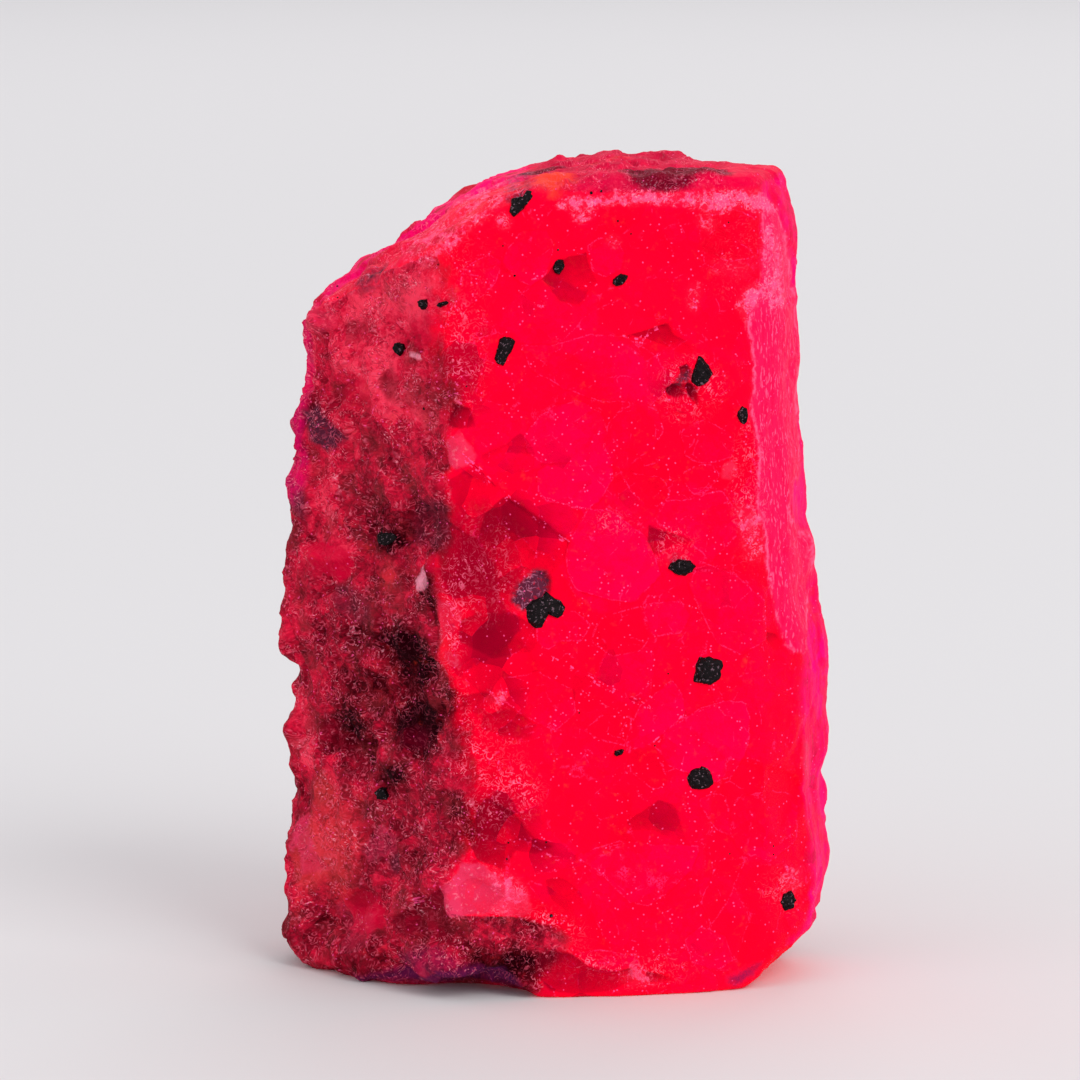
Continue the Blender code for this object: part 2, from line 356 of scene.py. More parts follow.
               (15.2, 27.5), (15.5, 25.4), (15.7, 23.1), (15.5, 20.4), (15.0, 20.3), (14.2, 20.7),
               (13.4, 22.5), (13.1, 24.5), (12.8, 26.4), (12.7, 27.9), (12.2, 29.5), (12.1, 30.7),
               (12.3, 32.4), (12.0, 34.4), (11.6, 36.1), (12.1, 37.1), (11.9, 39.2), (11.5, 40.7),
               (11.8, 42.1), (12.3, 43.0), (12.3, 44.5), (12.5, 45.7), (12.2, 46.8)]),
    ],
    "mauve": [
        # behind the head grain
        (1.0, [(-3.2, 48.7), (-2.8, 48.9), (-2.1, 49.1), (-1.5, 49.3), (-2.1, 48.7), (-2.9, 48.6)]),
        # top left
        (0.9, [(-12.3, 42.5), (-12.2, 43.0), (-11.1, 43.8), (-10.3, 44.1), (-10.6, 43.5),
               (-11.3, 42.6)]),
        # left, high
        (1.4, [(-15.7, 34.6), (-15.1, 34.9), (-14.7, 35.3), (-14.2, 34.5), (-13.7, 34.0), (-12.9, 33.5),
               (-13.4, 32.8), (-13.9, 32.3), (-14.7, 32.7), (-15.2, 32.9), (-15.1, 33.5),
               (-15.5, 34.2)]),
        # left outline
        (0.9, [(-16.0, 29.5), (-15.2, 29.8), (-15.2, 28.4), (-15.5, 27.8), (-15.9, 28.1)]),
        # middle grain, above
        (1.5, [(-2.7, 24.5), (-2.3, 25.3), (-1.7, 25.9), (-1.1, 26.3), (-0.5, 26.0), (-0.4, 25.2),
               (-0.6, 24.6), (-1.2, 24.1), (-1.8, 23.8), (-2.4, 23.9)]),
        # left, low plate
        (0.8, [(-10.5, 8.0), (-10.0, 8.6), (-9.6, 8.3), (-9.7, 7.1), (-10.3, 7.2)]),
        # left face, granular
        (0.5, [(-14.0, 24.3), (-12.8, 24.5), (-11.7, 24.0), (-11.1, 22.7), (-11.8, 22.0),
               (-12.8, 22.3), (-13.7, 23.2)]),
        # left face, granular, by the edge
        (0.45, [(-8.9, 29.2), (-8.2, 30.4), (-7.0, 30.7), (-6.4, 29.8), (-6.6, 27.6), (-7.9, 27.3),
                (-8.8, 27.4)]),
        # beside the right grain
        (1.3, [(7.2, 37.5), (7.5, 37.9), (8.0, 38.3), (8.2, 37.8), (7.8, 37.4), (7.3, 37.3)]),
        # over the middle right grain
        (0.6, [(6.6, 26.6), (7.0, 27.0), (7.9, 26.8), (8.4, 26.2), (6.8, 26.2)]),
    ],
    # painted light from behind: purple-blue along the foot
    "purple": [
        # foot, left
        (1.0, [(-12.3, 1.2), (-9.5, 1.0), (-7.6, 2.3), (-5.2, 2.2), (-2.5, 1.6), (-1.9, 0.1),
               (-4.6, 0.7), (-7.1, 0.1), (-10.0, 0.5), (-12.0, 0.7)]),
        # foot, left, magenta
        (0.5, [(-9.5, 2.4), (-7.6, 3.4), (-6.4, 2.9), (-5.8, 2.2), (-8.3, 0.8), (-9.5, 1.3)]),
        # foot, right
        (0.9, [(10.2, 0.7), (11.6, 1.2), (12.9, 1.8), (12.1, 1.1), (11.0, 0.2)]),
    ],
    "rose": [
        # left face, smooth
        (1.0, [(-15.2, 26.8), (-12.8, 26.7), (-12.5, 25.8), (-12.8, 24.8), (-14.0, 24.4),
               (-14.8, 25.2), (-15.7, 26.1)]),
        # left face, high, under the dark sliver
        (0.6, [(-13.7, 35.4), (-12.3, 37.4), (-11.2, 36.9), (-11.6, 35.8), (-12.8, 34.8)]),
        # left face, beside the round grain
        (0.5, [(-9.6, 40.6), (-7.2, 41.9), (-6.9, 41.0), (-7.4, 39.6), (-9.0, 39.4)]),
        # left face, low, bright
        (0.9, [(-13.3, 5.5), (-11.3, 5.8), (-10.4, 4.6), (-10.8, 3.3), (-12.4, 2.9), (-13.2, 4.2)]),
        # left face, dark red wedge at the edge
        (0.7, [(-7.9, 26.6), (-7.0, 27.4), (-6.9, 26.2), (-7.2, 25.8)]),
        # left face, low middle
        (0.4, [(-12.6, 9.6), (-11.4, 10.4), (-11.0, 9.6), (-11.8, 8.8)]),
    ],
    "plate": [
        (0.4, [(1.9, 45.7), (2.7, 46.2), (3.7, 46.0), (4.1, 45.3), (3.9, 44.3), (3.0, 43.8),
               (2.2, 44.2)]),
        (0.5, [(-3.2, 44.8), (-3.0, 45.5), (-2.1, 46.6), (-0.6, 46.7), (-0.2, 45.8), (-0.3, 45.0),
               (-0.6, 44.1), (-1.5, 43.4), (-2.4, 43.8)]),
        (-0.6, [(8.7, 47.4), (11.1, 47.8), (12.4, 46.7), (12.1, 44.9), (10.5, 44.6), (8.7, 45.3)]),
        (0.2, [(-2.1, 39.8), (-0.3, 39.7), (2.1, 40.4), (4.2, 40.3), (6.0, 39.1), (7.0, 37.2),
               (6.0, 36.3), (2.7, 36.4), (0.3, 37.3), (-1.5, 38.3)]),
        (0.5, [(-2.0, 34.3), (-1.2, 35.2), (-0.3, 36.1), (1.5, 36.4), (2.7, 35.7), (3.0, 34.9),
               (2.8, 33.6), (3.4, 32.5), (2.7, 32.2), (0.9, 32.7), (-0.9, 32.7), (-1.7, 33.4)]),
        (0.3, [(3.1, 34.9), (3.9, 35.9), (5.1, 36.3), (6.1, 35.7), (6.5, 34.6), (6.0, 33.6),
               (5.1, 33.0), (4.2, 32.1), (3.4, 32.5), (2.9, 33.6)]),
        (0.4, [(7.5, 34.4), (8.1, 34.8), (9.0, 35.2), (10.1, 34.5), (11.0, 33.9), (10.7, 32.9),
               (9.8, 32.5), (8.7, 32.5), (7.9, 32.9)]),
        (0.5, [(7.7, 31.9), (7.8, 31.3), (8.1, 30.8), (8.7, 30.6), (9.2, 30.9), (9.7, 31.3),
               (9.9, 31.8), (9.5, 32.3), (8.5, 32.3)]),
        (0.7, [(0.9, 28.1), (0.6, 27.0), (0.7, 26.0), (1.2, 25.0), (2.7, 24.5), (4.6, 24.1),
               (5.4, 24.8), (6.3, 25.7), (6.0, 26.7), (5.4, 28.1), (4.4, 28.8), (3.3, 29.7),
               (1.9, 29.8)]),
        (0.6, [(-1.1, 32.2), (-1.1, 31.0), (-0.6, 30.4), (0.6, 30.1), (1.6, 29.7), (2.6, 30.3),
               (3.4, 31.6), (3.4, 32.3), (2.4, 32.4), (0.6, 32.5), (-0.6, 32.5)]),
        (-0.4, [(3.9, 32.0), (6.3, 31.7), (7.0, 30.8), (6.3, 29.9), (5.6, 29.9), (4.5, 30.9)]),
        (0.2, [(6.6, 30.2), (8.1, 30.3), (10.0, 30.8), (10.9, 29.5), (10.9, 28.0), (9.4, 26.5),
               (8.4, 27.4), (6.8, 28.4), (6.0, 29.0)]),
        (0.5, [(-1.1, 23.0), (-1.2, 21.9), (-0.6, 21.3), (0.3, 21.9), (1.5, 21.8), (2.1, 22.8),
               (1.2, 23.6), (-0.0, 23.7)]),
        (0.2, [(8.7, 26.5), (10.9, 25.6), (12.7, 23.9), (12.8, 21.5), (11.2, 20.7), (9.7, 21.6),
               (8.8, 23.5), (8.1, 25.0)]),
        (0.3, [(5.4, 24.0), (7.5, 24.1), (8.1, 23.2), (7.5, 22.2), (6.0, 22.0), (5.4, 23.0)]),
        (-0.5, [(2.1, 21.8), (2.7, 23.2), (5.1, 23.9), (5.3, 22.9), (5.7, 22.0), (5.1, 21.1),
                (3.3, 20.9)]),
        (0.6, [(5.1, 17.7), (6.0, 18.5), (7.1, 19.3), (7.7, 18.3), (7.8, 17.1), (7.1, 16.5),
               (6.0, 15.6), (5.1, 15.1), (4.2, 15.3), (4.6, 16.5)]),
        (-0.3, [(1.7, 16.3), (2.7, 17.2), (4.6, 17.1), (4.2, 15.3), (2.7, 15.7)]),
        (0.6, [(8.0, 17.0), (8.8, 17.5), (10.3, 17.9), (11.5, 17.7), (11.8, 17.0), (11.7, 15.7),
               (11.4, 14.5), (10.9, 13.3), (9.9, 13.0), (8.5, 13.4), (6.8, 14.1), (6.3, 15.1),
               (6.8, 16.3)]),
        (-0.5, [(4.4, 15.0), (6.0, 15.3), (6.5, 14.1), (6.8, 13.0), (6.0, 12.6), (4.5, 13.8)]),
        (0.3, [(8.6, 11.9), (9.2, 10.9), (9.8, 10.0), (10.7, 9.6), (10.5, 11.2), (10.3, 12.1),
               (9.4, 12.3)]),
        (0.2, [(10.9, 11.8), (13.1, 12.3), (14.7, 11.7), (14.7, 8.9), (13.1, 7.9), (11.2, 8.7),
               (10.8, 9.6)]),
        (0.35, [(1.2, 8.7), (2.6, 7.7), (4.5, 5.7), (5.7, 5.5), (7.0, 6.4), (8.2, 7.6), (8.8, 9.1),
                (6.3, 9.2), (3.9, 9.5)]),
        (-0.3, [(10.0, 8.1), (11.6, 8.2), (11.0, 6.8), (10.3, 5.3), (9.5, 4.1), (8.8, 5.7),
                (9.4, 6.9)]),
        (0.3, [(7.9, 3.3), (8.8, 4.1), (10.3, 3.4), (10.8, 1.9), (9.7, 1.3), (8.2, 2.0)]),
        (0.4, [(-3.4, 19.6), (-1.0, 20.0), (1.0, 18.8), (1.2, 17.5), (-0.0, 16.3), (-1.9, 17.3),
               (-3.1, 18.3)]),
        (0.45, [(0.4, 2.6), (2.7, 2.9), (4.8, 2.5), (5.1, 1.9), (3.0, 1.5), (1.2, 2.0)]),
        (0.3, [(-6.3, 43.4), (-5.1, 44.8), (-3.9, 45.4), (-3.3, 44.8), (-3.6, 43.7), (-4.7, 42.5),
               (-6.0, 41.9)]),
    ],
}

# lines seen from the front: points across and up, mm
lines = {
    # rows where painted glints gather
    "glitter": [
        [(-6.0, 43.3), (-5.4, 44.4), (-4.9, 45.0), (-4.3, 45.3)],
        [(-5.4, 43.6), (-4.1, 43.9)],
        [(-5.5, 42.5), (-4.3, 42.9), (-3.4, 42.5), (-1.9, 42.3), (-0.5, 42.1)],
        [(-1.7, 48.3), (-0.6, 48.1), (-0.2, 48.2)],
        [(-3.1, 47.0), (-2.2, 47.3), (-1.2, 47.9)],
        [(-1.7, 43.7), (-0.7, 44.0)],
        [(-4.2, 41.2), (-3.8, 41.4)],
        [(-1.1, 30.8), (0.5, 30.1), (1.9, 29.8)],
        [(3.3, 33.5), (4.0, 32.3)],
        [(0.6, 25.9), (2.3, 24.9), (4.0, 24.5), (4.6, 25.3)],
        [(-5.4, 20.4), (-3.9, 18.8), (-3.0, 17.9)],
        [(-0.3, 20.0), (4.2, 17.0), (6.1, 17.0)],
        [(-4.1, 12.4), (-1.8, 9.7), (1.2, 7.8)],
        [(1.9, 2.9), (5.7, 2.5), (8.0, 2.9)],
        [(13.7, 8.2), (14.5, 6.6)],
        [(7.8, 43.6), (8.6, 42.6), (8.3, 41.4)],
    ],
    "crack": [
        [(-5.6, 33.2), (-4.6, 32.3), (-3.1, 30.8), (-0.9, 28.9), (0.6, 27.9)],
        [(-3.5, 14.2), (-3.2, 14.9), (-2.8, 15.3)],
        [(-6.3, 42.4), (-6.6, 41.8), (-6.9, 40.9)],
        [(-7.0, 37.1), (-6.1, 36.9), (-5.6, 36.4)],
        [(6.0, 15.5), (7.1, 16.3), (7.8, 17.1)],
        [(9.0, 30.9), (9.6, 31.3)],
        [(3.7, 40.3), (5.1, 40.0), (6.0, 40.7), (7.0, 41.0)],
        [(-13.0, 33.4), (-12.0, 34.2), (-11.3, 34.9), (-11.0, 35.8), (-10.3, 36.5)],
        [(-14.7, 35.9), (-13.6, 36.3), (-12.6, 36.9)],
        [(-10.1, 5.5), (-9.2, 5.2), (-6.9, 7.2)],
        [(-9.4, 13.7), (-9.0, 14.3)],
        [(-0.6, 21.0), (1.2, 20.0), (3.1, 18.9), (5.7, 17.6)],
    ],
}

# soft patches: across and up on the front, half width, half height (mm) and strength
patches = {
    # lighter or darker than the face around
    "bright": [
        (-11.5, 40.0, 5.5, 4.5, 0.42), (-9.0, 36.5, 3.5, 3.0, 0.22), (-14.0, 25.5, 3.0, 3.5, 0.28),
        (-13.5, 31.0, 3.0, 3.0, 0.25), (-9.0, 28.0, 2.6, 3.0, -0.02), (-8.5, 20.7, 2.5, 2.0, -0.72),
        (-8.1, 16.6, 2.4, 2.4, -0.80), (-11.0, 21.3, 2.8, 1.1, -0.35), (-12.5, 15.7, 2.2, 1.3, -0.50),
        (-10.6, 18.8, 3.0, 1.2, -0.18), (-7.9, 42.9, 3.0, 2.8, 0.45), (-8.0, 24.4, 1.4, 1.4, -0.35),
        (-13.6, 21.8, 2.2, 2.6, -0.15), (-12.2, 13.9, 2.2, 2.0, -0.18), (-9.6, 13.4, 1.0, 0.7, -0.40),
        (-15.8, 21.5, 1.4, 3.5, 0.20), (-15.0, 18.0, 2.5, 2.0, 0.12), (-15.9, 14.0, 1.6, 3.0, 0.35),
        (-13.5, 10.0, 3.5, 3.0, 0.25), (-15.0, 6.5, 3.0, 3.0, 0.35), (-12.0, 4.0, 3.5, 2.0, 0.15),
        (-12.0, 1.8, 3.5, 1.0, -0.20), (-15.6, 38.0, 1.6, 4.5, 0.35),
        (-10.3, 27.4, 1.2, 0.8, -0.50), (-10.3, 12.9, 1.5, 1.0, -0.40),
        (-4.2, 27.0, 3.6, 5.0, -0.55), (-5.3, 38.5, 2.4, 3.2, -0.30), (-3.6, 19.0, 3.4, 4.0, -0.50),
        (-3.0, 11.0, 3.5, 3.5, -0.35), (1.5, 1.0, 5.0, 1.3, -0.35), (-3.2, 2.3, 2.4, 1.1, -0.50),
        (0.4, 3.6, 2.6, 1.0, 0.30), (-4.5, 4.5, 2.0, 0.8, -0.05),
        (14.6, 46.0, 1.6, 3.5, -0.60), (8.0, 37.0, 2.0, 1.8, -0.20), (5.6, 10.6, 2.6, 1.6, -0.25),
        (1.5, 44.0, 2.0, 2.0, -0.12),
    ],
    # where painted hair-fine sparkle goes
    "hair": [
        (-6.2, 22.6, 1.0, 2.6, 0.80),
        (-6.2, 14.5, 1.2, 5.0, 0.90), (-7.5, 19.0, 2.2, 1.4, 0.60), (-5.6, 25.2, 2.4, 2.4, 0.90),
        (-2.8, 12.8, 2.4, 1.6, 0.70), (-1.6, 3.8, 2.6, 1.2, 0.60),
        (-4.3, 26.5, 3.0, 4.0, 0.60), (-5.8, 38.5, 2.0, 3.5, 0.50), (-4.5, 13.0, 3.0, 6.0, 0.60),
        (-3.0, 3.5, 5.0, 2.5, 0.70), (10.8, 45.0, 2.6, 4.0, 0.2), (11.8, 31.0, 1.6, 5.5, 0.40),
        (-5.6, 43.5, 2.6, 4.5, 0.22), (8.0, 37.0, 2.4, 2.2, 0.60), (7.0, 27.5, 1.8, 1.2, 0.60),
        (3.5, 29.0, 2.0, 1.0, 0.35), (14.0, 6.0, 2.0, 2.0, 0.40), (4.0, 1.5, 5.0, 1.2, 0.60),
    ],
    "orange": [
        (-13.6, 8.0, 3.6, 4.4, 0.70), (-8.6, 32.0, 1.6, 2.4, 0.30),
        (-10.3, 25.4, 1.4, 1.6, 0.50), (-10.5, 19.6, 3.0, 0.9, 0.25),
        (-15.8, 7.0, 1.6, 2.6, 0.80), (-14.6, 11.5, 1.4, 1.6, 0.40), (-8.6, 25.8, 1.2, 1.2, 0.35),
        (-6.7, 21.8, 0.8, 2.6, 0.35), (-13.0, 29.0, 2.0, 3.0, 0.25),
    ],
    # on the top, placed by across and front to back: brownish or orange
    "topDark": [(6.3, -6.8, 2.6, 3.4, 1.00), (9.7, -5.5, 1.4, 2.0, 0.80), (-1.0, 3.0, 2.5, 2.0, 0.70),
                (8.0, 5.5, 3.0, 2.0, 0.35)],
    "topOrange": [(-0.1, -6.4, 1.5, 3.2, 0.95), (3.0, 4.0, 2.0, 1.5, 0.40)],
}

# swellings (height above 0) and dents that finish the outline: a point by the surface, then reach
# and height, mm
swellings = [
    # along the head
    ((-4.3, 2.0, 48.9), 2.5, -0.5), ((-5.6, 3.0, 48.4), 2.4, -0.35), ((-8.2, 2.0, 46.8), 3.2, -0.8),
    ((-9.6, 3.0, 46.3), 2.6, -0.5), ((-6.3, 5.7, 47.9), 2.4, -0.45), ((-8.6, 6.8, 46.2), 2.4, -0.5),
    ((-10.8, 6.5, 44.6), 2.0, -0.5), ((-13.4, 6.6, 42.5), 1.8, -0.3), ((13.5, -1.5, 49.9), 1.6, -0.3),
    ((-5.3, 5.8, 48.7), 2.0, -0.4), ((-9.1, 8.0, 45.8), 1.8, -0.5),
    # down the left outline
    ((-15.2, 1.0, 36.5), 1.5, -0.9), ((-16.0, 1.0, 36.5), 1.5, -0.5), ((-16.3, 1.6, 35.0), 1.2, -0.9),
    ((-16.4, 1.0, 32.8), 1.3, -0.5), ((-16.3, 1.1, 31.6), 1.2, -0.5), ((-16.2, 1.0, 29.6), 3.0, 0.4),
    ((-16.6, 1.0, 25.5), 1.6, 0.2), ((-16.9, 1.0, 23.0), 1.2, -0.4), ((-16.9, 1.0, 20.4), 2.4, 0.8),
    ((-16.8, 0.8, 21.0), 1.6, -0.6), ((-16.1, 2.2, 17.3), 1.3, 0.35), ((-16.9, 1.0, 14.5), 1.6, 0.6),
    ((-16.6, 1.2, 12.5), 1.2, 0.35), ((-16.9, 0.5, 10.4), 3.0, -0.85), ((-17.3, 0.8, 8.0), 1.6, -0.7),
    ((-17.1, 0.3, 6.2), 1.0, 0.35), ((-17.0, 1.0, 5.8), 2.0, -0.9), ((-17.1, 0.4, 3.4), 1.8, -0.7),
    ((-16.0, 0.0, 3.0), 2.4, 0.7), ((-14.5, -1.5, 1.6), 2.8, 1.0), ((-10.8, -6.0, 1.6), 2.6, 0.9),
    ((-12.4, -4.6, 0.9), 2.2, 0.8),
    # down the right outline
    ((15.0, -1.0, 43.0), 7.0, 0.55), ((15.2, -1.0, 38.0), 2.4, 0.25), ((15.4, -0.6, 26.0), 2.6, 0.7),
    ((15.8, 0.4, 24.0), 1.6, 0.45), ((17.1, 0.8, 19.0), 1.5, -0.55), ((16.6, -1.0, 14.0), 2.6, 0.3),
    ((16.6, 1.4, 10.6), 1.6, 0.45), ((17.2, 1.7, 7.4), 1.9, -0.6), ((17.0, 1.1, 5.0), 1.7, -0.6),
    ((15.6, -1.0, 5.0), 2.0, -0.2), ((14.8, -1.0, 3.6), 1.6, 0.5), ((13.4, -2.0, 0.8), 2.8, -1.3),
]


# where a zone starts and where it is full: by the way a face looks, from 0 to 1, or by place, mm
zones = {
    "overTop": (0.25, 0.6),  # the broken left face ends where the stone looks up
    "behind": (1.0, 5.0),  # and towards the back
    "lookRight": (0.66, 0.94),
    "rightRimLightEnds": (0.5, 3.5),  # towards the back
    "slopeLooksUp": (0.3, 0.6),  # the sloped corner of the head
    "slopeIsLeft": (0.5, 3.0),
    "slopeRimLight": (-4.0, -0.5),  # front to back
    "slopeRimLightEnds": (7.5, 10.0),
    "leftRimLight": (14.5, 16.0),  # on the left outline: how far left, how high and how far back
    "leftRimLightIsHigh": (27.0, 30.0),
    "leftRimLightIsBack": (-1.5, 0.5),
    "ridgeIsHigh": (48.7, 49.2),
    "ridgeIsRight": (-2.0, 0.0),
    "lookUp": (0.6, 0.9),
    "backSide": (-1.0, 3.0),
}


def evaluated(thing):  # the mesh that its modifiers make
    bpy.context.view_layer.update()
    graph = bpy.context.evaluated_depsgraph_get()
    made = bpy.data.meshes.new_from_object(
        thing.evaluated_get(graph), preserve_all_data_layers=True, depsgraph=graph
    )
    thing.modifiers.clear()
    old = thing.data
    thing.data = made
    bpy.data.meshes.remove(old)


def addModifier(thing, kind, **settings):
    modifier = thing.modifiers.new(kind.lower(), kind)
    for name, value in settings.items():
        setattr(modifier, name, value)
    return modifier


def addThing(name, data):
    thing = bpy.data.objects.new(name, data)
    bpy.context.scene.collection.objects.link(thing)
    return thing


def meshOf(shape, name):
    mesh = bpy.data.meshes.new(name)
    shape.to_mesh(mesh)
    shape.free()
    return mesh


def newMaterial(name):
    material = bpy.data.materials.new(name)
    material.use_nodes = True
    return material, Net(material.node_tree), material.node_tree.nodes["Principled BSDF"]


def pointsOf(mesh):
    places = np.empty(len(mesh.vertices) * 3, np.float32)
    mesh.vertices.foreach_get("co", places)
    return places.reshape(-1, 3).astype(float)


def normalsOf(mesh):
    normals = np.empty(len(mesh.vertices) * 3, np.float32)
    mesh.vertex_normals.foreach_get("vector", normals)
    return normals.reshape(-1, 3).astype(float)


def keep(mesh, name, values):  # puts a number or a vector for each point on the mesh
    if values.ndim == 2:
        made = mesh.attributes.new(name, "FLOAT_VECTOR", "POINT")
        made.data.foreach_set("vector", values.astype(np.float32).ravel())
    else:
        made = mesh.attributes.new(name, "FLOAT", "POINT")
        made.data.foreach_set("value", values.astype(np.float32))


def soften(mesh, values, times):  # averages values with those of the neighbouring points
    ends = np.empty(len(mesh.edges) * 2, np.int32)
    mesh.edges.foreach_get("vertices", ends)
    ends = ends.reshape(-1, 2)
    first, second = ends[:, 0], ends[:, 1]
    count = len(mesh.vertices)
    degree = np.bincount(ends.ravel(), minlength=count)[:, None]
    for _ in range(times):
        total = np.stack(
            [
                np.bincount(first, values[second, axis], count)
                + np.bincount(second, values[first, axis], count)
                for axis in range(values.shape[1])
            ],
            axis=1,
        )
        values = (values + total / degree) / 2
    return values


def smoothStep(values, low, high):
    share = np.clip((values - low) / (high - low), 0, 1)
    return share * share * (3 - 2 * share)


def sidesOf(corners, closed=True):
    ends = corners[1:] + corners[:1] if closed else corners[1:]
    return zip(corners, ends)


def rounded(corners):  # cuts each corner of an outline, a quarter of the way along its sides
    cut = []
    for (x0, y0), (x1, y1) in sidesOf(corners):
        cut.append((x0 + (x1 - x0) / 4, y0 + (y1 - y0) / 4))
        cut.append((x1 - (x1 - x0) / 4, y1 - (y1 - y0) / 4))
    return cut


def wayToSides(places, sides):  # mm to the nearest side
    nearest = np.full(len(places), np.inf)
    for start, end in sides:
        side = np.subtract(end, start)
        offset = places - start
        along = np.clip(offset @ side / (side @ side), 0, 1)
        nearest = np.minimum(nearest, np.linalg.norm(offset - along[:, None] * side, axis=1))
    return nearest


def isInside(places, corners):
    inside = np.zeros(len(places), bool)
    for (x0, y0), (x1, y1) in sidesOf(corners):
        if y0 != y1:
            crosses = (y0 > places[:, 1]) != (y1 > places[:, 1])
            inside ^= crosses & (places[:, 0] < x0 + (places[:, 1] - y0) / (y1 - y0) * (x1 - x0))
    return inside


farAway = 2.0  # mm, where an outline or a line stops mattering


def nearTo(corners, places, facesFront):  # the points that an outline or a line matters to
    low = np.min(corners, axis=0) - farAway
    high = np.max(corners, axis=0) + farAway
    return np.nonzero(facesFront & (places > low).all(axis=1) & (places < high).all(axis=1))[0]


def markOutlines(mesh, places, facesFront):
    for kind, shapes in outlines.items():
        depth = np.full(len(places), -farAway)  # mm inside the nearest outline
        tone = np.zeros(len(places))
        slant = np.zeros(len(places))  # -1 at the shape's upper left, 1 at its lower right
        for strength, corners in shapes:
            middle = (np.min(corners, axis=0) + np.max(corners, axis=0)) / 2
            span = np.max(corners, axis=0) - np.min(corners, axis=0)
            near = nearTo(corners, places, facesFront)
            corners = corners if kind in ("crimson", "pale", "plate") else rounded(corners)
            inside = wayToSides(places[near], sidesOf(corners))
            inside = np.where(isInside(places[near], corners), inside, -inside)
            closer = inside > depth[near]
            depth[near[closer]] = inside[closer]
            tone[near[closer]] = strength
            slant[near[closer]] = ((places[near[closer]] - middle) / span) @ (1, -1)
        keep(mesh, kind + "Depth", depth)
        keep(mesh, kind + "Tone", tone)
        keep(mesh, kind + "Slant", slant)


def markLines(mesh, places, facesFront):
    for kind, shapes in lines.items():
        depth = np.full(len(places), -farAway)  # 0 on the line, below 0 beside it, mm
        for points in shapes:
            near = nearTo(points, places, facesFront)
            beside = wayToSides(places[near], sidesOf(points, closed=False))
            depth[near] = np.maximum(depth[near], -beside)
        keep(mesh, kind + "Depth", depth)


def markPatches(mesh, rest):
    tree = BVHTree.FromPolygons(rest.tolist(), [tuple(p.vertices) for p in mesh.polygons])
    for kind, spots in patches.items():
        mask = np.zeros(len(rest))
        for x, other, halfWide, halfOther, strength in spots:
            if kind.startswith("top"):
                centre = tree.ray_cast(Vector((x, other, 90)), Vector((0, 0, -1)))[0]
                halfSizes = (halfWide, halfOther, 1.5)
            else:
                centre = tree.ray_cast(Vector((x, -40, other)), Vector((0, 1, 0)))[0]
                halfSizes = (halfWide, max(halfWide, 1.5), halfOther)
            if centre is None:
                continue
            reach = np.array(halfSizes) * 1.3
            near = np.linalg.norm((rest - np.array(centre)) / reach, axis=1)
            mask += strength * np.clip(1 - near * near, 0, 1) ** 1.5
        keep(mesh, kind, mask)


def swellingAt(rest):
    height = np.zeros(len(rest))
    for centre, reach, lift in swellings:
        near = np.linalg.norm(rest - np.array(centre), axis=1) / reach
        height += lift * np.clip(1 - near * near, 0, 1) ** 2
    return height


def zone(values, name):
    return smoothStep(values, *zones[name])


def markZones(mesh):
    rest = pointsOf(mesh)
    x, y, z = rest.T
    normals = soften(mesh, normalsOf(mesh), stone["normalSoftening"])
    normals /= np.linalg.norm(normals, axis=1)[:, None]
    looksUp = normals[:, 2]
    facesFront = (normals[:, 1] < 0.1) & (y < 4)
    markOutlines(mesh, rest[:, [0, 2]], facesFront)
    markLines(mesh, rest[:, [0, 2]], facesFront)
    markPatches(mesh, rest)

    heights, places, gradual = np.array(frontEdge).T
    beyondEdge = (np.interp(z, heights, places) - x) / np.interp(z, heights, gradual)
    overTop = 4 * zone(looksUp, "overTop")
    behind = 4 * zone(y, "behind")
    keep(mesh, "leftDepth", np.clip(beyondEdge, -3, 3) - overTop - behind)

    lookRight = zone(normals[:, 0], "lookRight")
    slope = zone(looksUp, "slopeLooksUp") * zone(-x, "slopeIsLeft")
    # painted rim light: magenta on the right face, on the head's sloped corner and high on the left outline
    rightRimLight = lookRight * (1 - 0.6 * zone(y, "rightRimLightEnds"))
    slopeRimLight = 1.3 * slope * zone(y + 0.35 * x, "slopeRimLight") * (1 - 0.7 * zone(y, "slopeRimLightEnds"))
    leftRimLight = 1.5 * zone(-x, "leftRimLight") * zone(z, "leftRimLightIsHigh") * zone(y, "leftRimLightIsBack")
    keep(mesh, "magenta", np.maximum.reduce([rightRimLight, slopeRimLight, leftRimLight]))
    keep(mesh, "slope", slope)
    keep(mesh, "lookRight", lookRight)
    overRidge = zone(z, "ridgeIsHigh") * zone(x, "ridgeIsRight")
    keep(mesh, "lookUp", np.maximum(zone(looksUp, "lookUp"), overRidge) * (1 - slope))
    keep(mesh, "backSide", zone(y, "backSide"))
    keep(mesh, "swell", swellingAt(rest))
    keep(mesh, "rest", rest)


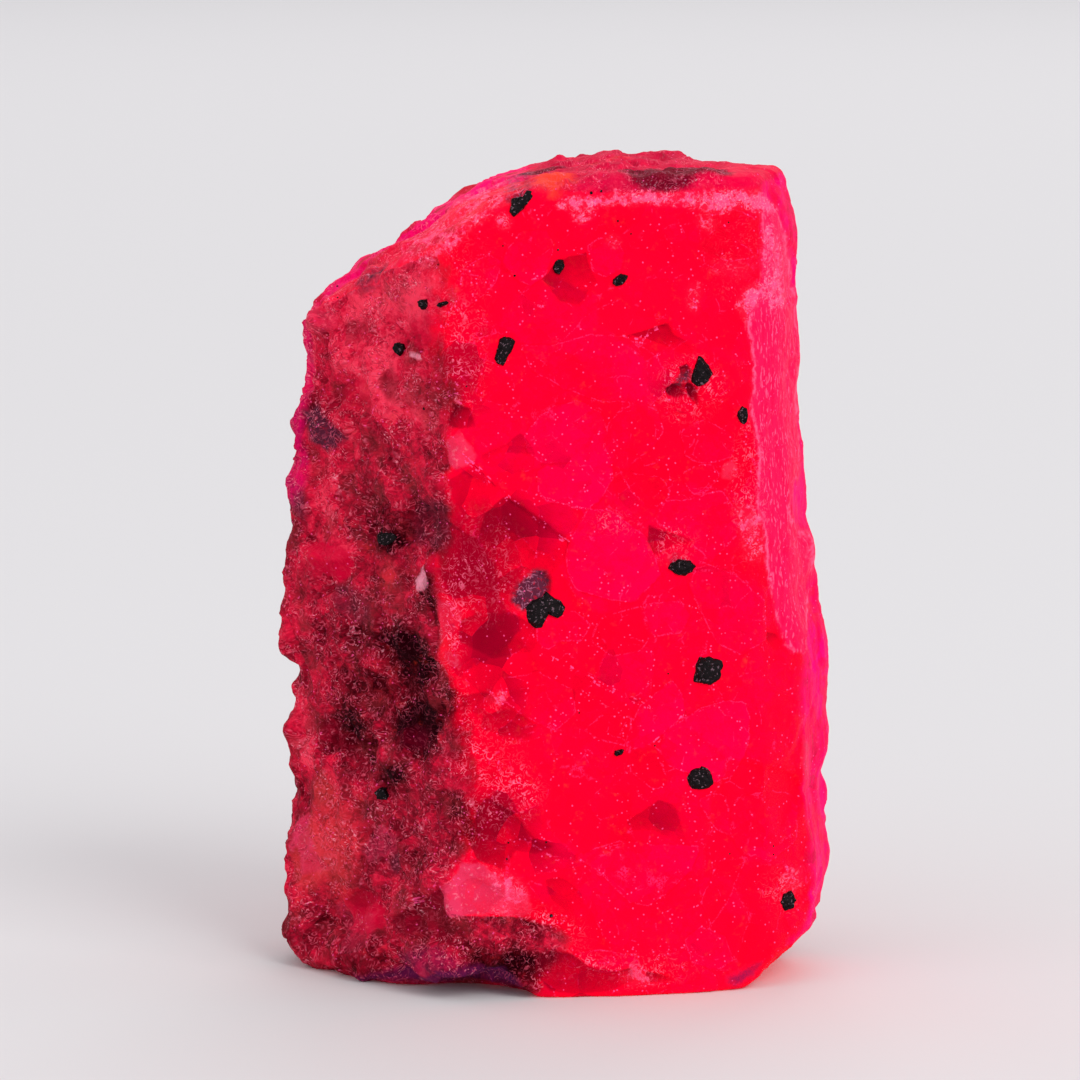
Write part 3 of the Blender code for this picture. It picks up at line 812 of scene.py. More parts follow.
# the relief and the colours are worked out from the same marks
stone = {
    "grid": 0.21,  # mm between points before the relief goes on
    "quickGrid": 0.30,
    "softening": 14,  # smoothing passes that take out the solid's facets
    "normalSoftening": 12,  # passes for the way that each place looks
    "triangles": 190000,
    "bigPlate": 4.6,  # parting plates on the smooth faces: sizes, bends, steps and leans
    "bigBend": 0.5,
    "bigStep": 0.10,
    "bigLean": 0.04,
    "smallPlate": 1.9,
    "smallBend": 0.25,
    "smallStep": 0.045,
    "smallLean": 0.035,
    "brokenStep": 0.17,  # the small plates again, where the stone is broken
    "brokenLean": 0.17,
    "drawnStep": 0.08,  # how far the drawn plates stand out
    "lump": 0.75,  # broken faces: how far lumps, grains and grit stand out
    "grain": 0.26,
    "grit": 0.14,
    "groove": 0.10,  # upright grooves on the right face
    "facetDepth": 0.22,
    "crackDepth": 0.12,
    # how wide the patterns are, mm
    "width": {"region": 7.0, "cloud": 3.4, "wander": 2.2, "mottle": 0.9, "fine": 0.28, "finest": 0.12,
              "lump": 2.8, "grain": 1.1, "grit": 0.45, "crumb": 0.6, "paintedGlint": 0.3, "clump": 1.3,
              "wideCurl": 0.8, "fineCurl": 0.45},
    # how far each kind of mark strays from its outline or line, and how softly it ends, mm
    "ragged": {"crimson": 0.35, "pale": 0.6, "frost": 0.9, "strip": 1.0, "mauve": 0.9, "purple": 1.6,
               "rose": 0.7, "plate": 0.35, "glitter": 0.4, "crack": 0.3},
    "soft": {"crimson": 0.1, "pale": 0.12, "frost": 0.25, "strip": 0.2, "mauve": 0.3, "purple": 0.35,
             "rose": 0.15, "plate": 0.10},
}


def reshape(thing, name, change):  # runs the stone through a node group made by change(net, shape)
    tree = bpy.data.node_groups.new(name, "GeometryNodeTree")
    for way in ("INPUT", "OUTPUT"):
        tree.interface.new_socket("Stone", in_out=way, socket_type="NodeSocketGeometry")
    net = Net(tree)
    shape = change(net, net.add("NodeGroupInput", {}, {}))
    net.add("NodeGroupOutput", {}, {0: shape})
    addModifier(thing, "NODES", node_group=tree)
    evaluated(thing)


def keepBroadMarks(net, shape):  # patterns kept on the mesh, so that no ray has to work them out again
    width = stone["width"]
    rest = net.read("rest", vector=True)
    joint, tone, lean = net.plates(rest, stone["bigPlate"], stone["bigBend"])
    broad = {
        "bigJoint": joint,
        "bigTone": tone,
        "bigLean": lean,
        "cloud": net.noise(rest, width["cloud"], 3.0),
        "wander": net.noise(rest, width["wander"], 2.0),
        "region": net.noise(rest, width["region"], 3.0),
    }
    for name, value in broad.items():
        sockets = {"Geometry": shape, "Name": name, "Value": value}
        shape = net.add("GeometryNodeStoreNamedAttribute", {"data_type": "FLOAT"}, sockets)
    return shape


def readMarks(net):  # what the relief and the colours share
    mark = SimpleNamespace(depth={}, tone={}, slant={}, mask={})
    width = stone["width"]
    for name in (
        "lookRight", "lookUp", "backSide", "slope",
        "bigJoint", "bigTone", "bigLean", "cloud", "wander", "region",
    ):
        setattr(mark, name, net.read(name))
    mark.rest = net.read("rest", vector=True)
    mark.place = mark.rest * (1.0, 0.5, 1.0)  # drawn out along the turned sides
    mark.mottle = net.noise(mark.place, width["mottle"], 3.0, 0.6)
    mark.fine = net.noise(mark.place, width["fine"], 2.0, 0.6)
    mark.ragged = (mark.mottle - 0.5) * 0.5 + (mark.fine - 0.5) * 0.25
    small = net.plates(mark.rest, stone["smallPlate"], stone["smallBend"])
    mark.smallJoint, mark.smallTone, mark.smallLean = small

    # the broken parts: the left face, places on the back, and most of the head
    wander = (mark.wander - 0.5) * 3.0 + mark.ragged * 3.5
    left = net.step(net.read("leftDepth") + wander, -1.0, 1.0)
    behind = net.step(mark.region + mark.ragged * 0.3, 0.32, 0.66)
    behind = behind * mark.backSide * (1 - mark.slope)
    across = net.part(mark.rest, 0)
    roundedOff = net.step(across, 7.0, 11.0)
    nearHead = net.step(across, -9.0, -5.0)
    slopeShare = mark.slope * (0.55 - nearHead * 0.4)
    up = net.highest(mark.lookUp * (0.7 - roundedOff * 0.5), slopeShare)
    mark.broken = net.highest(left, net.highest(behind, up))

    for kind in (*outlines, *lines):
        mark.depth[kind] = net.read(kind + "Depth") + mark.ragged * stone["ragged"][kind]
    for kind in outlines:
        soft = stone["soft"][kind]
        mark.tone[kind] = net.read(kind + "Tone")
        mark.slant[kind] = net.read(kind + "Slant")
        mark.mask[kind] = net.step(mark.depth[kind], -soft, soft)
    return mark


def reliefHeight(net):  # how far the surface moves out, mm
    mark = readMarks(net)
    width = stone["width"]
    rest = mark.rest
    broken = mark.broken
    bigFade = net.step(mark.bigJoint, 0.0, 0.22)
    smallFade = net.step(mark.smallJoint, 0.0, 0.2)
    big = (mark.bigTone - 0.5) * (2 * stone["bigStep"]) + mark.bigLean * stone["bigLean"]
    small = (mark.smallTone - 0.5) * (2 * stone["smallStep"]) + mark.smallLean * stone["smallLean"]
    chunks = (mark.smallTone - 0.5) * (2 * stone["brokenStep"]) + mark.smallLean * stone["brokenLean"]
    lumps = (net.noise(rest, width["lump"], 2.0) - 0.5) * (2 * stone["lump"])
    bent = rest + net.sway(rest, width["grain"], 0.3)
    grains = (0.45 - net.voronoi("SMOOTH_F1", bent, width["grain"])) * stone["grain"]
    grit = (net.noise(rest, width["grit"], 2.0) - 0.5) * (2 * stone["grit"])
    grooves = (net.noise(rest * (1.9, 1.9, 0.13), 1.0, 3.0) - 0.5) * (2 * stone["groove"])
    rough = net.highest(broken, mark.mask["frost"] * 0.5)
    height = bigFade * big + smallFade * (small * (1 - broken) + chunks * broken)
    height = height + (lumps * broken + grains * rough) + grit * (0.12 + rough * 0.88)
    height = height + grooves * mark.lookRight
    height = height + mark.mask["plate"] * mark.tone["plate"] * stone["drawnStep"]
    height = height - mark.mask["crimson"] * mark.tone["crimson"] * stone["facetDepth"]
    height = height + mark.mask["pale"] * mark.tone["pale"] * stone["drawnStep"]
    height = height - net.line(mark.depth["crack"], 0.02, 0.2) * stone["crackDepth"]
    return height * net.step(net.part(rest, 2), 0.1, 0.9) + net.read("swell")


def raiseRelief(net, shape):
    offset = net.add("GeometryNodeInputNormal", {}, {}) * reliefHeight(net)
    return net.add("GeometryNodeSetPosition", {}, {"Geometry": shape, "Offset": offset})


def buildStone():
    print("stone: remeshing the solid")
    thing = addThing("ruby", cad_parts["ruby_crystal"].data.copy())
    thing.data.materials.clear()
    thing.data.transform(Matrix.Scale(1 / mm, 4))
    grid = stone["grid"]
    addModifier(thing, "REMESH", mode="VOXEL", voxel_size=grid)
    addModifier(thing, "SMOOTH", factor=0.5, iterations=stone["softening"])
    evaluated(thing)
    print("stone:", len(thing.data.vertices), "points; marking its zones")
    markZones(thing.data)
    reshape(thing, "broadMarks", keepBroadMarks)
    print("stone: raising the relief")
    reshape(thing, "stoneRelief", raiseRelief)
    thing.data.calc_loop_triangles()
    share = stone["triangles"] / len(thing.data.loop_triangles)
    if share < 1:
        print("stone: thinning out the mesh to", round(share, 2))
        addModifier(thing, "DECIMATE", ratio=share)
        evaluated(thing)
    places = pointsOf(thing.data)
    places[:, 2] = np.maximum(places[:, 2], 0)  # nothing reaches into the floor
    thing.data.vertices.foreach_set("co", places.astype(np.float32).ravel())
    thing.data.transform(Matrix.Scale(mm, 4))
    thing.data.shade_smooth()
    thing.data.materials.append(rubyMaterial())
    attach(thing, "root")
    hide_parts("ruby_crystal")
    return thing


rubyLook = {
    "red": srgb(250, 0, 40),
    "pinkRed": srgb(255, 0, 64),
    "deepRed": srgb(206, 0, 32),
    "dimRed": srgb(150, 0, 30),
    "crimson": srgb(112, 0, 24),
    # painted highlight along the plate joints
    "joint": srgb(255, 44, 112),
    "paintedGlint": srgb(255, 80, 150),
    "strip": srgb(240, 20, 80),
    "stripFleck": srgb(255, 100, 146),
    "pale": srgb(226, 52, 92),
    "frost": srgb(255, 76, 126),
    "frostWhite": srgb(255, 156, 180),
    "magenta": srgb(250, 0, 116),
    "mauve": srgb(84, 30, 50),
    "purple": srgb(84, 22, 74),
    "orange": srgb(202, 54, 54),
    "brown": srgb(104, 36, 38),
    "rose": srgb(206, 4, 50),
    "topRed": srgb(206, 0, 66),
    "topOrange": srgb(246, 66, 40),
    "topBrown": srgb(34, 2, 12),
    "topFleck": srgb(170, 110, 130),
    # colours of the painted sparkle
    "hair": srgb(236, 86, 116),
    "frontSparkle": srgb(255, 104, 144),
    "lilac": srgb(180, 104, 134),
    "sparkleWhite": srgb(255, 190, 206),
    "dark": srgb(30, 2, 8),
    "paintedGlow": 0.3,  # painted glow: how much of the front's light comes from within, as emission standing in for the ruby's red fluorescence
    # how strongly a colour covers the one below, from 0 to 1
    "share": {
        "deepRed": 0.75, "dimRed": 0.9, "darkFacet": 0.6, "joint": 0.55, "jointShadow": 0.6,
        "topRed": 0.6, "dustyTop": 0.45, "brown": 0.45, "rose": 0.85, "orange": 0.6,
        "topOrange": 0.8, "topBrown": 0.74, "topFleck": 0.6, "strip": 0.9, "stripPink": 0.5,
        "stripFleck": 0.55, "stripRim": 0.7, "magenta": 0.8, "rimLightStreak": 0.5, "frost": 0.14,
        "frostFleck": 0.7, "frostWhite": 0.6, "paleRose": 0.35, "purple": 0.85, "crack": 0.35,
        "crackHighlight": 0.8, "hairGround": 0.3, "paintedCurlShadow": 0.35, "paintedGlint": 0.75, "paintedGlintRow": 0.7,
    },
    # how much each pattern counts
    "smoothTone": {"cloud": 1.0, "bigTone": 0.45, "smallTone": 0.3, "crumbTone": 0.15, "fine": 0.5,
                   "finest": 0.5},
    "brokenTone": {"cloud": 0.5, "bigTone": 0.14, "smallTone": 0.22, "crumbTone": 0.16, "mottle": 0.7,
                   "fine": 0.45, "finest": 0.3},
    "dimness": {"cloud": 0.4, "bigTone": 0.3, "smallTone": 0.4, "mottle": 0.15},
    "paleTone": {"smallTone": 0.3, "crumbTone": 0.3, "mottle": 0.7},
}

# the broken face's colour, from nearly black, painted shade for its hollows, to its brightest parts
brokenReds = [
    (0.0, srgb(30, 0, 5)),
    (0.25, srgb(82, 4, 15)),
    (0.5, srgb(146, 14, 38)),
    (0.75, srgb(212, 20, 56)),
    (1.0, srgb(248, 56, 86)),
]


def smoothReds(net, mark):  # the red of the smooth faces, later given painted glow by the emission, and their mosaic of plates, with painted highlights and painted shadow along the joints
    look = rubyLook
    share = look["share"]
    plate = mark.mask["plate"] * mark.tone["plate"]
    tone = net.mixed(0.0, mark, look["smoothTone"]) + plate * (0.65 + mark.slant["plate"] * 0.3)
    red = net.blend(look["red"], look["pinkRed"], net.step(tone, -0.1, 0.8))
    red = net.blend(red, look["deepRed"], net.fade(tone, -0.7, 0.0, share["deepRed"]))
    red = net.blend(red, look["dimRed"], mark.dim * share["dimRed"])
    # painted shade: some plates on the back and on right-facing sides, turned away from the front, go dark
    # crimson
    turnedAway = net.highest(mark.backSide, mark.lookRight * 0.5)
    smallDark = net.step(mark.smallTone, 0.70, 0.73)
    darkFacet = net.highest(smallDark, net.step(mark.bigTone, 0.66, 0.69, after=0.8))
    mark.darkFacet = darkFacet * turnedAway * net.step(mark.mottle, 0.3, 0.6)
    red = net.blend(red, look["crimson"], mark.darkFacet * share["darkFacet"])
    # painted highlights along the plate joints, and painted shadow beside the drawn plates
    somewhere = net.noise(mark.rest, 0.8, 2.0)
    drawn = net.line(mark.depth["plate"], 0.0, 0.07) * net.step(somewhere, 0.42, 0.56)
    grown = net.fade(mark.bigJoint, 0.0, 0.08) * net.step(somewhere, 0.48, 0.6)
    grownSmall = net.fade(mark.smallJoint, 0.0, 0.06) * net.step(somewhere, 0.54, 0.64, after=0.8)
    jointHighlights = net.highest(drawn, net.highest(grown, grownSmall))
    jointHighlights = jointHighlights * net.step(mark.finest, 0.42, 0.56, after=share["joint"])
    shadow = net.line(mark.depth["plate"] + 0.08, 0.0, 0.08, share["jointShadow"])
    red = net.blend(red, look["deepRed"], shadow * net.fade(somewhere, 0.42, 0.52))
    red = net.blend(red, look["joint"], jointHighlights)
    return net.blend(red, look["topRed"], mark.lookUp * share["topRed"])


def brokenFace(net, mark):  # from nearly black to pink, in lumps, plates and crumbs
    look = rubyLook
    share = look["share"]
    level = net.mixed(0.52, mark, look["brokenTone"]) + mark.bright
    level = level + mark.lookUp * 0.12 + mark.backSide * 0.08 + mark.slope * 0.2
    dusty = net.ramp(level, brokenReds)
    brown = net.step(mark.wander, 0.5, 0.66) * net.step(level, 0.1, 0.4, after=share["brown"])
    dusty = net.blend(dusty, look["brown"], brown)
    dusty = net.blend(dusty, look["topRed"], net.highest(mark.lookUp, mark.slope) * share["dustyTop"])
    return net.blend(dusty, look["rose"], mark.mask["rose"] * mark.tone["rose"] * share["rose"])


def curls(net, place, width, density):  # painted hair-fine sparkle: contour lines of a noise, and the gaps between them, which get painted shade
    bent = place + net.sway(place, width * 0.8, width * 0.4)
    wave = net.maths("PINGPONG", net.noise(bent, width, 1.0) * density, 0.5)
    shown = net.step(net.noise(place + 31.0, width * 0.5, 1.0), 0.46, 0.56)
    return net.fade(wave, 0.03, 0.2) * shown, net.step(wave, 0.24, 0.4) * shown


def rubyMaterial():
    material, net, shader = newMaterial("ruby")
    look = rubyLook
    share = look["share"]
    width = stone["width"]
    mark = readMarks(net)
    rest = mark.rest
    side = mark.broken
    mask, tone = mark.mask, mark.tone
    mark.finest = net.noise(mark.place, width["finest"], 2.0, 0.65)
    mark.crumbTone = net.part(net.voronoi("F1", rest, width["crumb"], "Color"), 0)
    mark.bright = net.read("bright")
    mark.dim = net.step(net.mixed(0.0, mark, look["dimness"]) - mark.bright, 0.05, 0.7)
    colour = net.blend(smoothReds(net, mark), brokenFace(net, mark), side)

    # soft patches
    orange = net.read("orange") + mark.ragged * 0.8
    colour = net.blend(colour, look["orange"], net.step(orange, 0.15, 0.75, after=share["orange"]))
    orange = net.read("topOrange") + mark.ragged * 2.2
    colour = net.blend(colour, look["topOrange"], net.step(orange, 0.1, 0.8, after=share["topOrange"]))
    topDark = net.step(net.read("topDark") + mark.ragged * 1.2, 0.25, 0.6)
    colour = net.blend(colour, look["topBrown"], topDark * share["topBrown"])
    topGrain = net.step(mark.finest, 0.52, 0.66) * net.step(mark.fine, 0.45, 0.6, after=share["topFleck"])
    colour = net.blend(colour, look["topFleck"], topDark * topGrain)

    # dark facets: deeper crimson with painted shade, darkest towards each facet's upper left
    inFacet = mask["crimson"] * tone["crimson"]
    shade = mark.mottle + mark.smallTone * 0.5 - mark.slant["crimson"]
    colour = net.blend(colour, look["crimson"], inFacet * net.step(shade, -0.05, 1.55, 0.27, 0.75))

    # the strip down the right edge, and painted magenta rim light at the edges
    streaks = net.noise(rest * (5.0, 5.0, 0.5), 1.0, 3.0)
    pink = net.step(streaks, 0.46, 0.64, after=share["stripPink"])
    stripTone = net.blend(look["strip"], look["pinkRed"], pink)
    dashes = net.noise(rest * (7.0, 7.0, 1.8), 1.0, 2.0)
    flecks = net.step(dashes, 0.56, 0.68, after=share["stripFleck"])
    stripTone = net.blend(stripTone, look["stripFleck"], flecks)
    rim = net.line(mark.depth["strip"] - 0.12, 0.0, 0.16, share["stripRim"])
    stripTone = net.blend(stripTone, look["stripFleck"], rim * net.step(mark.mottle, 0.42, 0.6))
    colour = net.blend(colour, stripTone, mask["strip"] * share["strip"])
    magenta = net.read("magenta") + mark.cloud * 1.6 + mark.ragged * 0.8
    magenta = net.step(magenta, 1.1, 2.0, after=share["magenta"])
    magenta = magenta * (1 - mask["strip"]) * (1 - mark.darkFacet)
    red = net.step(streaks + mark.ragged, 0.46, 0.64, after=share["rimLightStreak"])
    rimLightTone = net.blend(look["magenta"], look["topRed"], red)
    colour = net.blend(colour, rimLightTone, magenta * (1 - side * 0.4) * (1 - mark.dim * 0.6))

    # pale facets and frost
    palePart = net.lowest(mask["pale"] * tone["pale"], 1.0)
    palePart = palePart * net.step(mark.slant["pale"] + mark.ragged * 2, 0.0, 1.0, 1.0, 0.4)
    palest = net.highest(net.step(tone["pale"], 1.02, 1.25), net.step(mark.fine, 0.56, 0.8, after=0.5))
    rose = net.step(mark.smallTone, 0.5, 0.54, after=share["paleRose"])
    paleTone = net.blend(net.blend(look["pale"], look["rose"], rose), look["frostWhite"], palest)
    colour = net.blend(colour, paleTone, palePart * net.mixed(0.85, mark, look["paleTone"]))
    frost = net.step(mark.depth["frost"], -0.4, 0.5) * tone["frost"]
    frosted = mark.fine * 0.9 + mark.mottle * 0.7 + mark.crumbTone * 0.2 + frost * 0.3
    frosted = net.step(frosted, 1.02, 1.22, after=share["frostFleck"]) * net.step(frost, 0.05, 0.3)
    white = net.step(mark.finest, 0.5, 0.7, after=share["frostWhite"])
    colour = net.blend(colour, look["frost"], frost * share["frost"])
    colour = net.blend(colour, net.blend(look["frost"], look["frostWhite"], white), frosted)

    # grey spots, painted purple backlight at the foot, dark cracks and painted highlights on their lips
    colour = net.blend(colour, look["mauve"], mask["mauve"] * tone["mauve"] * mark.fine * 1.5)
    colour = net.blend(colour, look["purple"], mask["purple"] * tone["purple"] * share["purple"])
    crack = net.line(mark.depth["crack"], 0.0, 0.06, share["crack"])
    colour = net.blend(colour, look["dark"], crack * net.step(mark.mottle, 0.4, 0.52))
    # painted highlight beside each crack
    crackHighlight = net.line(mark.depth["crack"] + 0.11, 0.0, 0.07, share["crackHighlight"])
    crackHighlight = crackHighlight * net.step(mark.fine, 0.5, 0.56) * net.step(net.noise(rest, 0.7, 1.0), 0.5, 0.56)
    colour = net.blend(colour, look["paintedGlint"], crackHighlight)

    # painted hair-fine sparkle on rough places, with painted shade in the gaps between the curls
    hair = net.read("hair")
    hairGround = net.step(hair + mark.ragged, 0.2, 1.0, after=share["hairGround"])
    colour = net.blend(colour, look["dimRed"], hairGround * (1 - side))
    amount = net.highest(side, net.highest(frost, hair))
    amount = net.highest(amount, net.highest(mask["mauve"], topDark * 0.9))
    amount = amount * (1 - net.lowest(inFacet, 1.0) * 0.5) * (1 - mask["rose"] * 0.7)
    clump = net.noise(mark.place, width["clump"], 3.0, 0.7)
    wideCurls, wideCurlShadows = curls(net, mark.place, width["wideCurl"], 8.0)
    fineCurls, fineCurlShadows = curls(net, mark.place + 17.0, width["fineCurl"], 5.5)
    hairy = net.step(clump + amount * 0.1, 0.5, 0.66, before=0.25) * net.step(amount, 0.05, 0.5)
    hairy = hairy * (1 - mark.lookUp * 0.35) * net.step(mark.bright + mark.cloud, -0.7, 0.5)
    curlShadows = net.highest(wideCurlShadows, fineCurlShadows) * hairy * side
    colour = net.blend(colour, look["dark"], curlShadows * share["paintedCurlShadow"])
    sparkleCurls = net.highest(wideCurls, fineCurls) * hairy
    sparkling = net.step(mark.finest, 0.5, 0.7) * net.step(clump, 0.46, 0.62)
    sparkleTone = net.blend(look["frontSparkle"], look["hair"], side)
    sparkleTone = net.blend(sparkleTone, look["lilac"], mask["mauve"] * (1 - side * 0.8))
    sparkleTone = net.blend(sparkleTone, look["sparkleWhite"], sparkling * (0.4 + side * 0.45))
    colour = net.blend(colour, sparkleTone, sparkleCurls * (0.65 - side * 0.2 + sparkling * 0.3))

    # painted glints: small highlights in the colour, more of them in clumps, at the joints and in the drawn
    # rows
    dot = net.voronoi("F1", rest, width["paintedGlint"])
    atJoint = net.fade(net.lowest(mark.bigJoint, mark.smallJoint), 0.1, 0.3, 0.25)
    inRow = net.line(mark.depth["glitter"], 0.0, 0.5, 0.5)
    chosen = net.part(dot.also("Color"), 1) + clump * 1.1 + atJoint + inRow
    paintedGlints = net.fade(dot, 0.08, 0.24, share["paintedGlint"]) * net.step(chosen, 1.36, 1.48)
    row = net.line(mark.depth["glitter"], 0.0, 0.09, share["paintedGlintRow"]) * net.step(mark.finest, 0.44, 0.56)
    colour = net.blend(colour, look["paintedGlint"], net.highest(paintedGlints, row))

    # how strong the painted glow is: less on broken faces, dark facets, dim and top-dark patches, the back
    # and pale facets
    paintedGlowShare = (1 - side * 0.6) * (1 - inFacet * 0.4) * (1 - mark.dim * 0.4) * (1 - topDark * 0.5)
    paintedGlowShare = paintedGlowShare * (1 - mark.backSide * 0.25) * (1 - palePart * 0.5)
    # kept short, because a bump works its height out three times
    height = mark.fine * 0.6 + net.noise(rest, width["finest"], 1.0) * 0.5
    bump = net.add("ShaderNodeBump", {}, {"Strength": 0.5, "Distance": 0.12 * mm, "Height": height})
    net.feed(shader, {
        "Base Color": colour,
        "Emission Color": colour * (paintedGlowShare * look["paintedGlow"]),
        "Emission Strength": 1.0,
        "Roughness": mark.fine * 0.3 + side * 0.15 + 0.45,
        "Normal": bump,
        "IOR": 1.76,
        "Specular IOR Level": 0.04,
        "Specular Tint": srgb(255, 50, 100),
    })
    return material


# the dark mineral grains in the ruby
darkGrains = {
    "height": 0.2,  # mm that a grain stands proud of the ruby
    "thickness": 0.7,
    "spread": {"places": 1.3, "drawn": 1.14},  # makes up for the part that is sunk in the ruby
    # name: across, up, width, height (mm), turn in degrees
    "places": {
        "grain_head_small": (0.1, 44.5, 0.6, 0.85, -20),
        "grain_upper_middle": (3.8, 43.6, 0.85, 0.55, 35),
        "grain_right_oval": (11.3, 35.3, 0.6, 1.0, 5),
        "grain_speck": (3.8, 14.9, 0.55, 0.36, 15),
        "grain_foot_right": (14.2, 5.2, 1.1, 0.95, 10),
        "grain_left_round": (-9.5, 39.2, 0.65, 0.75, 0),
        "grain_left_low": (-10.6, 11.8, 0.9, 0.7, 0),
        "grain_edge_left": (-8.0, 42.2, 0.6, 0.5, -20),
        "grain_edge_right": (-6.8, 42.3, 0.7, 0.25, 15),
        "grain_cavity": (-10.3, 27.6, 1.3, 0.8, 10),
    },
    # on the sides and the back, name: turn of the side from the front in degrees, then as above
    "around": {
        "grain_back_high": (180, -6.0, 38.5, 1.9, 1.3, 20),
        "grain_back_middle": (180, 5.0, 25.0, 1.3, 1.6, -15),
        "grain_back_low": (190, -3.0, 10.0, 1.2, 1.0, 40),
        "grain_back_small": (175, 1.0, 17.5, 0.8, 0.7, 10),
        "grain_right_back": (120, 2.0, 30.0, 1.2, 1.0, 10),
        "grain_right_low": (110, 3.0, 13.0, 1.0, 1.4, -30),
        "grain_left_back": (-115, 1.0, 20.0, 1.5, 1.1, 25),
        "grain_left_high": (-120, -2.0, 33.0, 0.9, 0.8, 0),
    },
    # name: corners across and up (mm)
    "drawn": {
        "grain_middle_right": [(6.8, 26.1), (7.0, 26.4), (7.4, 26.6), (7.7, 26.6), (8.1, 26.5), (8.4, 26.2),
                               (8.2, 25.9), (7.8, 25.7), (7.4, 25.7), (7.1, 25.9)],
        "grain_lower_right": [(8.5, 19.7), (8.8, 20.6), (9.2, 20.6), (10.1, 20.4), (10.2, 20.1), (10.0, 19.8),
                              (10.0, 19.4), (9.7, 19.2), (9.3, 19.0), (8.5, 19.3)],
        "grain_low": [(8.0, 13.3), (8.2, 13.7), (8.8, 13.9), (9.2, 13.8), (9.5, 13.2), (9.5, 12.9),
                      (9.2, 12.7), (8.8, 12.6), (8.3, 12.7), (8.1, 12.9)],
        "grain_head": [(-2.8, 47.8), (-2.5, 47.6), (-2.2, 47.8), (-1.8, 48.2), (-1.3, 48.8), (-1.5, 49.0),
                       (-1.8, 49.1), (-2.0, 48.7), (-2.6, 48.6), (-2.7, 48.2)],
        "grain_upper_left": [(-3.7, 39.0), (-3.5, 38.7), (-3.2, 38.6), (-3.0, 39.0), (-2.7, 39.5),
                             (-2.5, 40.0), (-2.8, 40.2), (-3.1, 40.3), (-3.4, 40.1), (-3.5, 39.7)],
        "grain_middle": [(-1.7, 24.0), (-1.5, 24.3), (-0.9, 24.5), (-0.6, 24.8), (-0.3, 24.6), (0.3, 24.3),
                         (0.6, 23.9), (0.4, 23.4), (0.1, 23.2), (-0.5, 23.5), (-0.7, 23.2),
                         (-0.9, 22.8), (-1.2, 22.8), (-1.6, 23.1), (-1.7, 23.5)],
        "grain_right_big": [(8.6, 38.9), (8.9, 38.7), (9.2, 38.3), (9.4, 37.9), (9.2, 37.6), (8.9, 37.3),
                            (8.5, 37.2), (8.2, 37.5), (8.2, 37.8), (8.4, 38.3)],
    },
    # small dark specks, kept together as one piece: across, up, size (mm)
    "specks": [
        (3.7, 47.2, 0.14), (4.5, 46.4, 0.12), (-2.5, 44.0, 0.16), (-3.2, 45.8, 0.12), (0.1, 45.5, 0.16),
        (2.1, 48.9, 0.20), (2.7, 49.0, 0.16), (1.4, 17.4, 0.12), (6.8, 19.7, 0.12), (6.0, 15.3, 0.12),
        (10.6, 8.5, 0.12), (13.3, 8.8, 0.14), (13.3, 8.3, 0.12), (-0.6, 9.6, 0.14), (-0.3, 5.0, 0.26),
        (-13.6, 42.1, 0.16), (-13.4, 41.9, 0.12), (-7.1, 44.6, 0.12), (-8.0, 35.8, 0.18), (-2.9, 9.6, 0.14),
        (-3.0, 8.6, 0.14), (10.4, 47.0, 0.12), (-5.4, 37.4, 0.12),
    ],
}


def grainMaterial():
    material, net, shader = newMaterial("darkGrain")
    place = net.add("ShaderNodeTexCoord", {}, {}, "Object") * (1 / mm)
    grit = net.noise(place, 0.22, 3.0, 0.6)
    # painted highlights: small pale flecks on the black grains
    flecks = net.step(net.noise(place, 0.16, 2.0), 0.6, 0.68, after=0.45)
    colour = net.blend(srgb(4, 1, 3), srgb(20, 8, 13), grit)
    colour = net.blend(colour, srgb(150, 120, 134), flecks)
    net.feed(shader, {
        "Base Color": colour,
        "Roughness": grit * 0.35 + 0.35,
        "Specular IOR Level": 0.12,
        "Normal": net.add("ShaderNodeBump", {}, {"Strength": 0.8, "Distance": 0.1 * mm, "Height": grit}),
    })
    return material


def roughOutline(width, height, turn, draw):  # corners of a chance grain around its middle
    corners = []
    count = draw.choice((6, 7, 8))
    for corner in range(count):
        angle = math.tau * (corner + draw.uniform(-0.25, 0.25)) / count
        reach = draw.uniform(0.42, 0.56)
        across, up = width * reach * math.cos(angle), height * reach * math.sin(angle)
        corners.append(Matrix.Rotation(math.radians(turn), 2) @ Vector((across, up)))
    return corners


def reachOf(corners, angle):  # mm from the middle to the outline, looking along this angle
    way = Vector((math.cos(angle), math.sin(angle)))
    reach = 0.0
    for start, end in sidesOf(corners):
        side = end - start
        slope = way.cross(side)
        if abs(slope) > 1e-9:
            along = start.cross(side) / slope
            share = start.cross(way) / slope
            if along > 0 and -1e-6 <= share <= 1 + 1e-6:
                reach = max(reach, along)
    return reach


def addGrain(shape, corners, thickness, detail):  # a lump with this outline, its outer end broken flat
    made = bmesh.ops.create_icosphere(shape, subdivisions=detail, radius=1.0)["verts"]
    shift = Vector((corners[0].x, corners[0].y, 7.0)) * 3
    for point in made:
        around = Vector(point.co.xy)
        reach = reachOf(corners, math.atan2(around.y, around.x)) if around.length > 1e-6 else 0
        bulge = 1 + 0.10 * noise.noise(point.co * 2.5 + shift)
        rim = around.length**0.7 * reach * bulge
        height = min(point.co.z, 0.55 + point.co.z * 0.15) + 0.16 * noise.noise(point.co * 3.2 + shift)
        point.co = (around.normalized() * rim).to_3d() + Vector((0, 0, height * thickness))
    return made


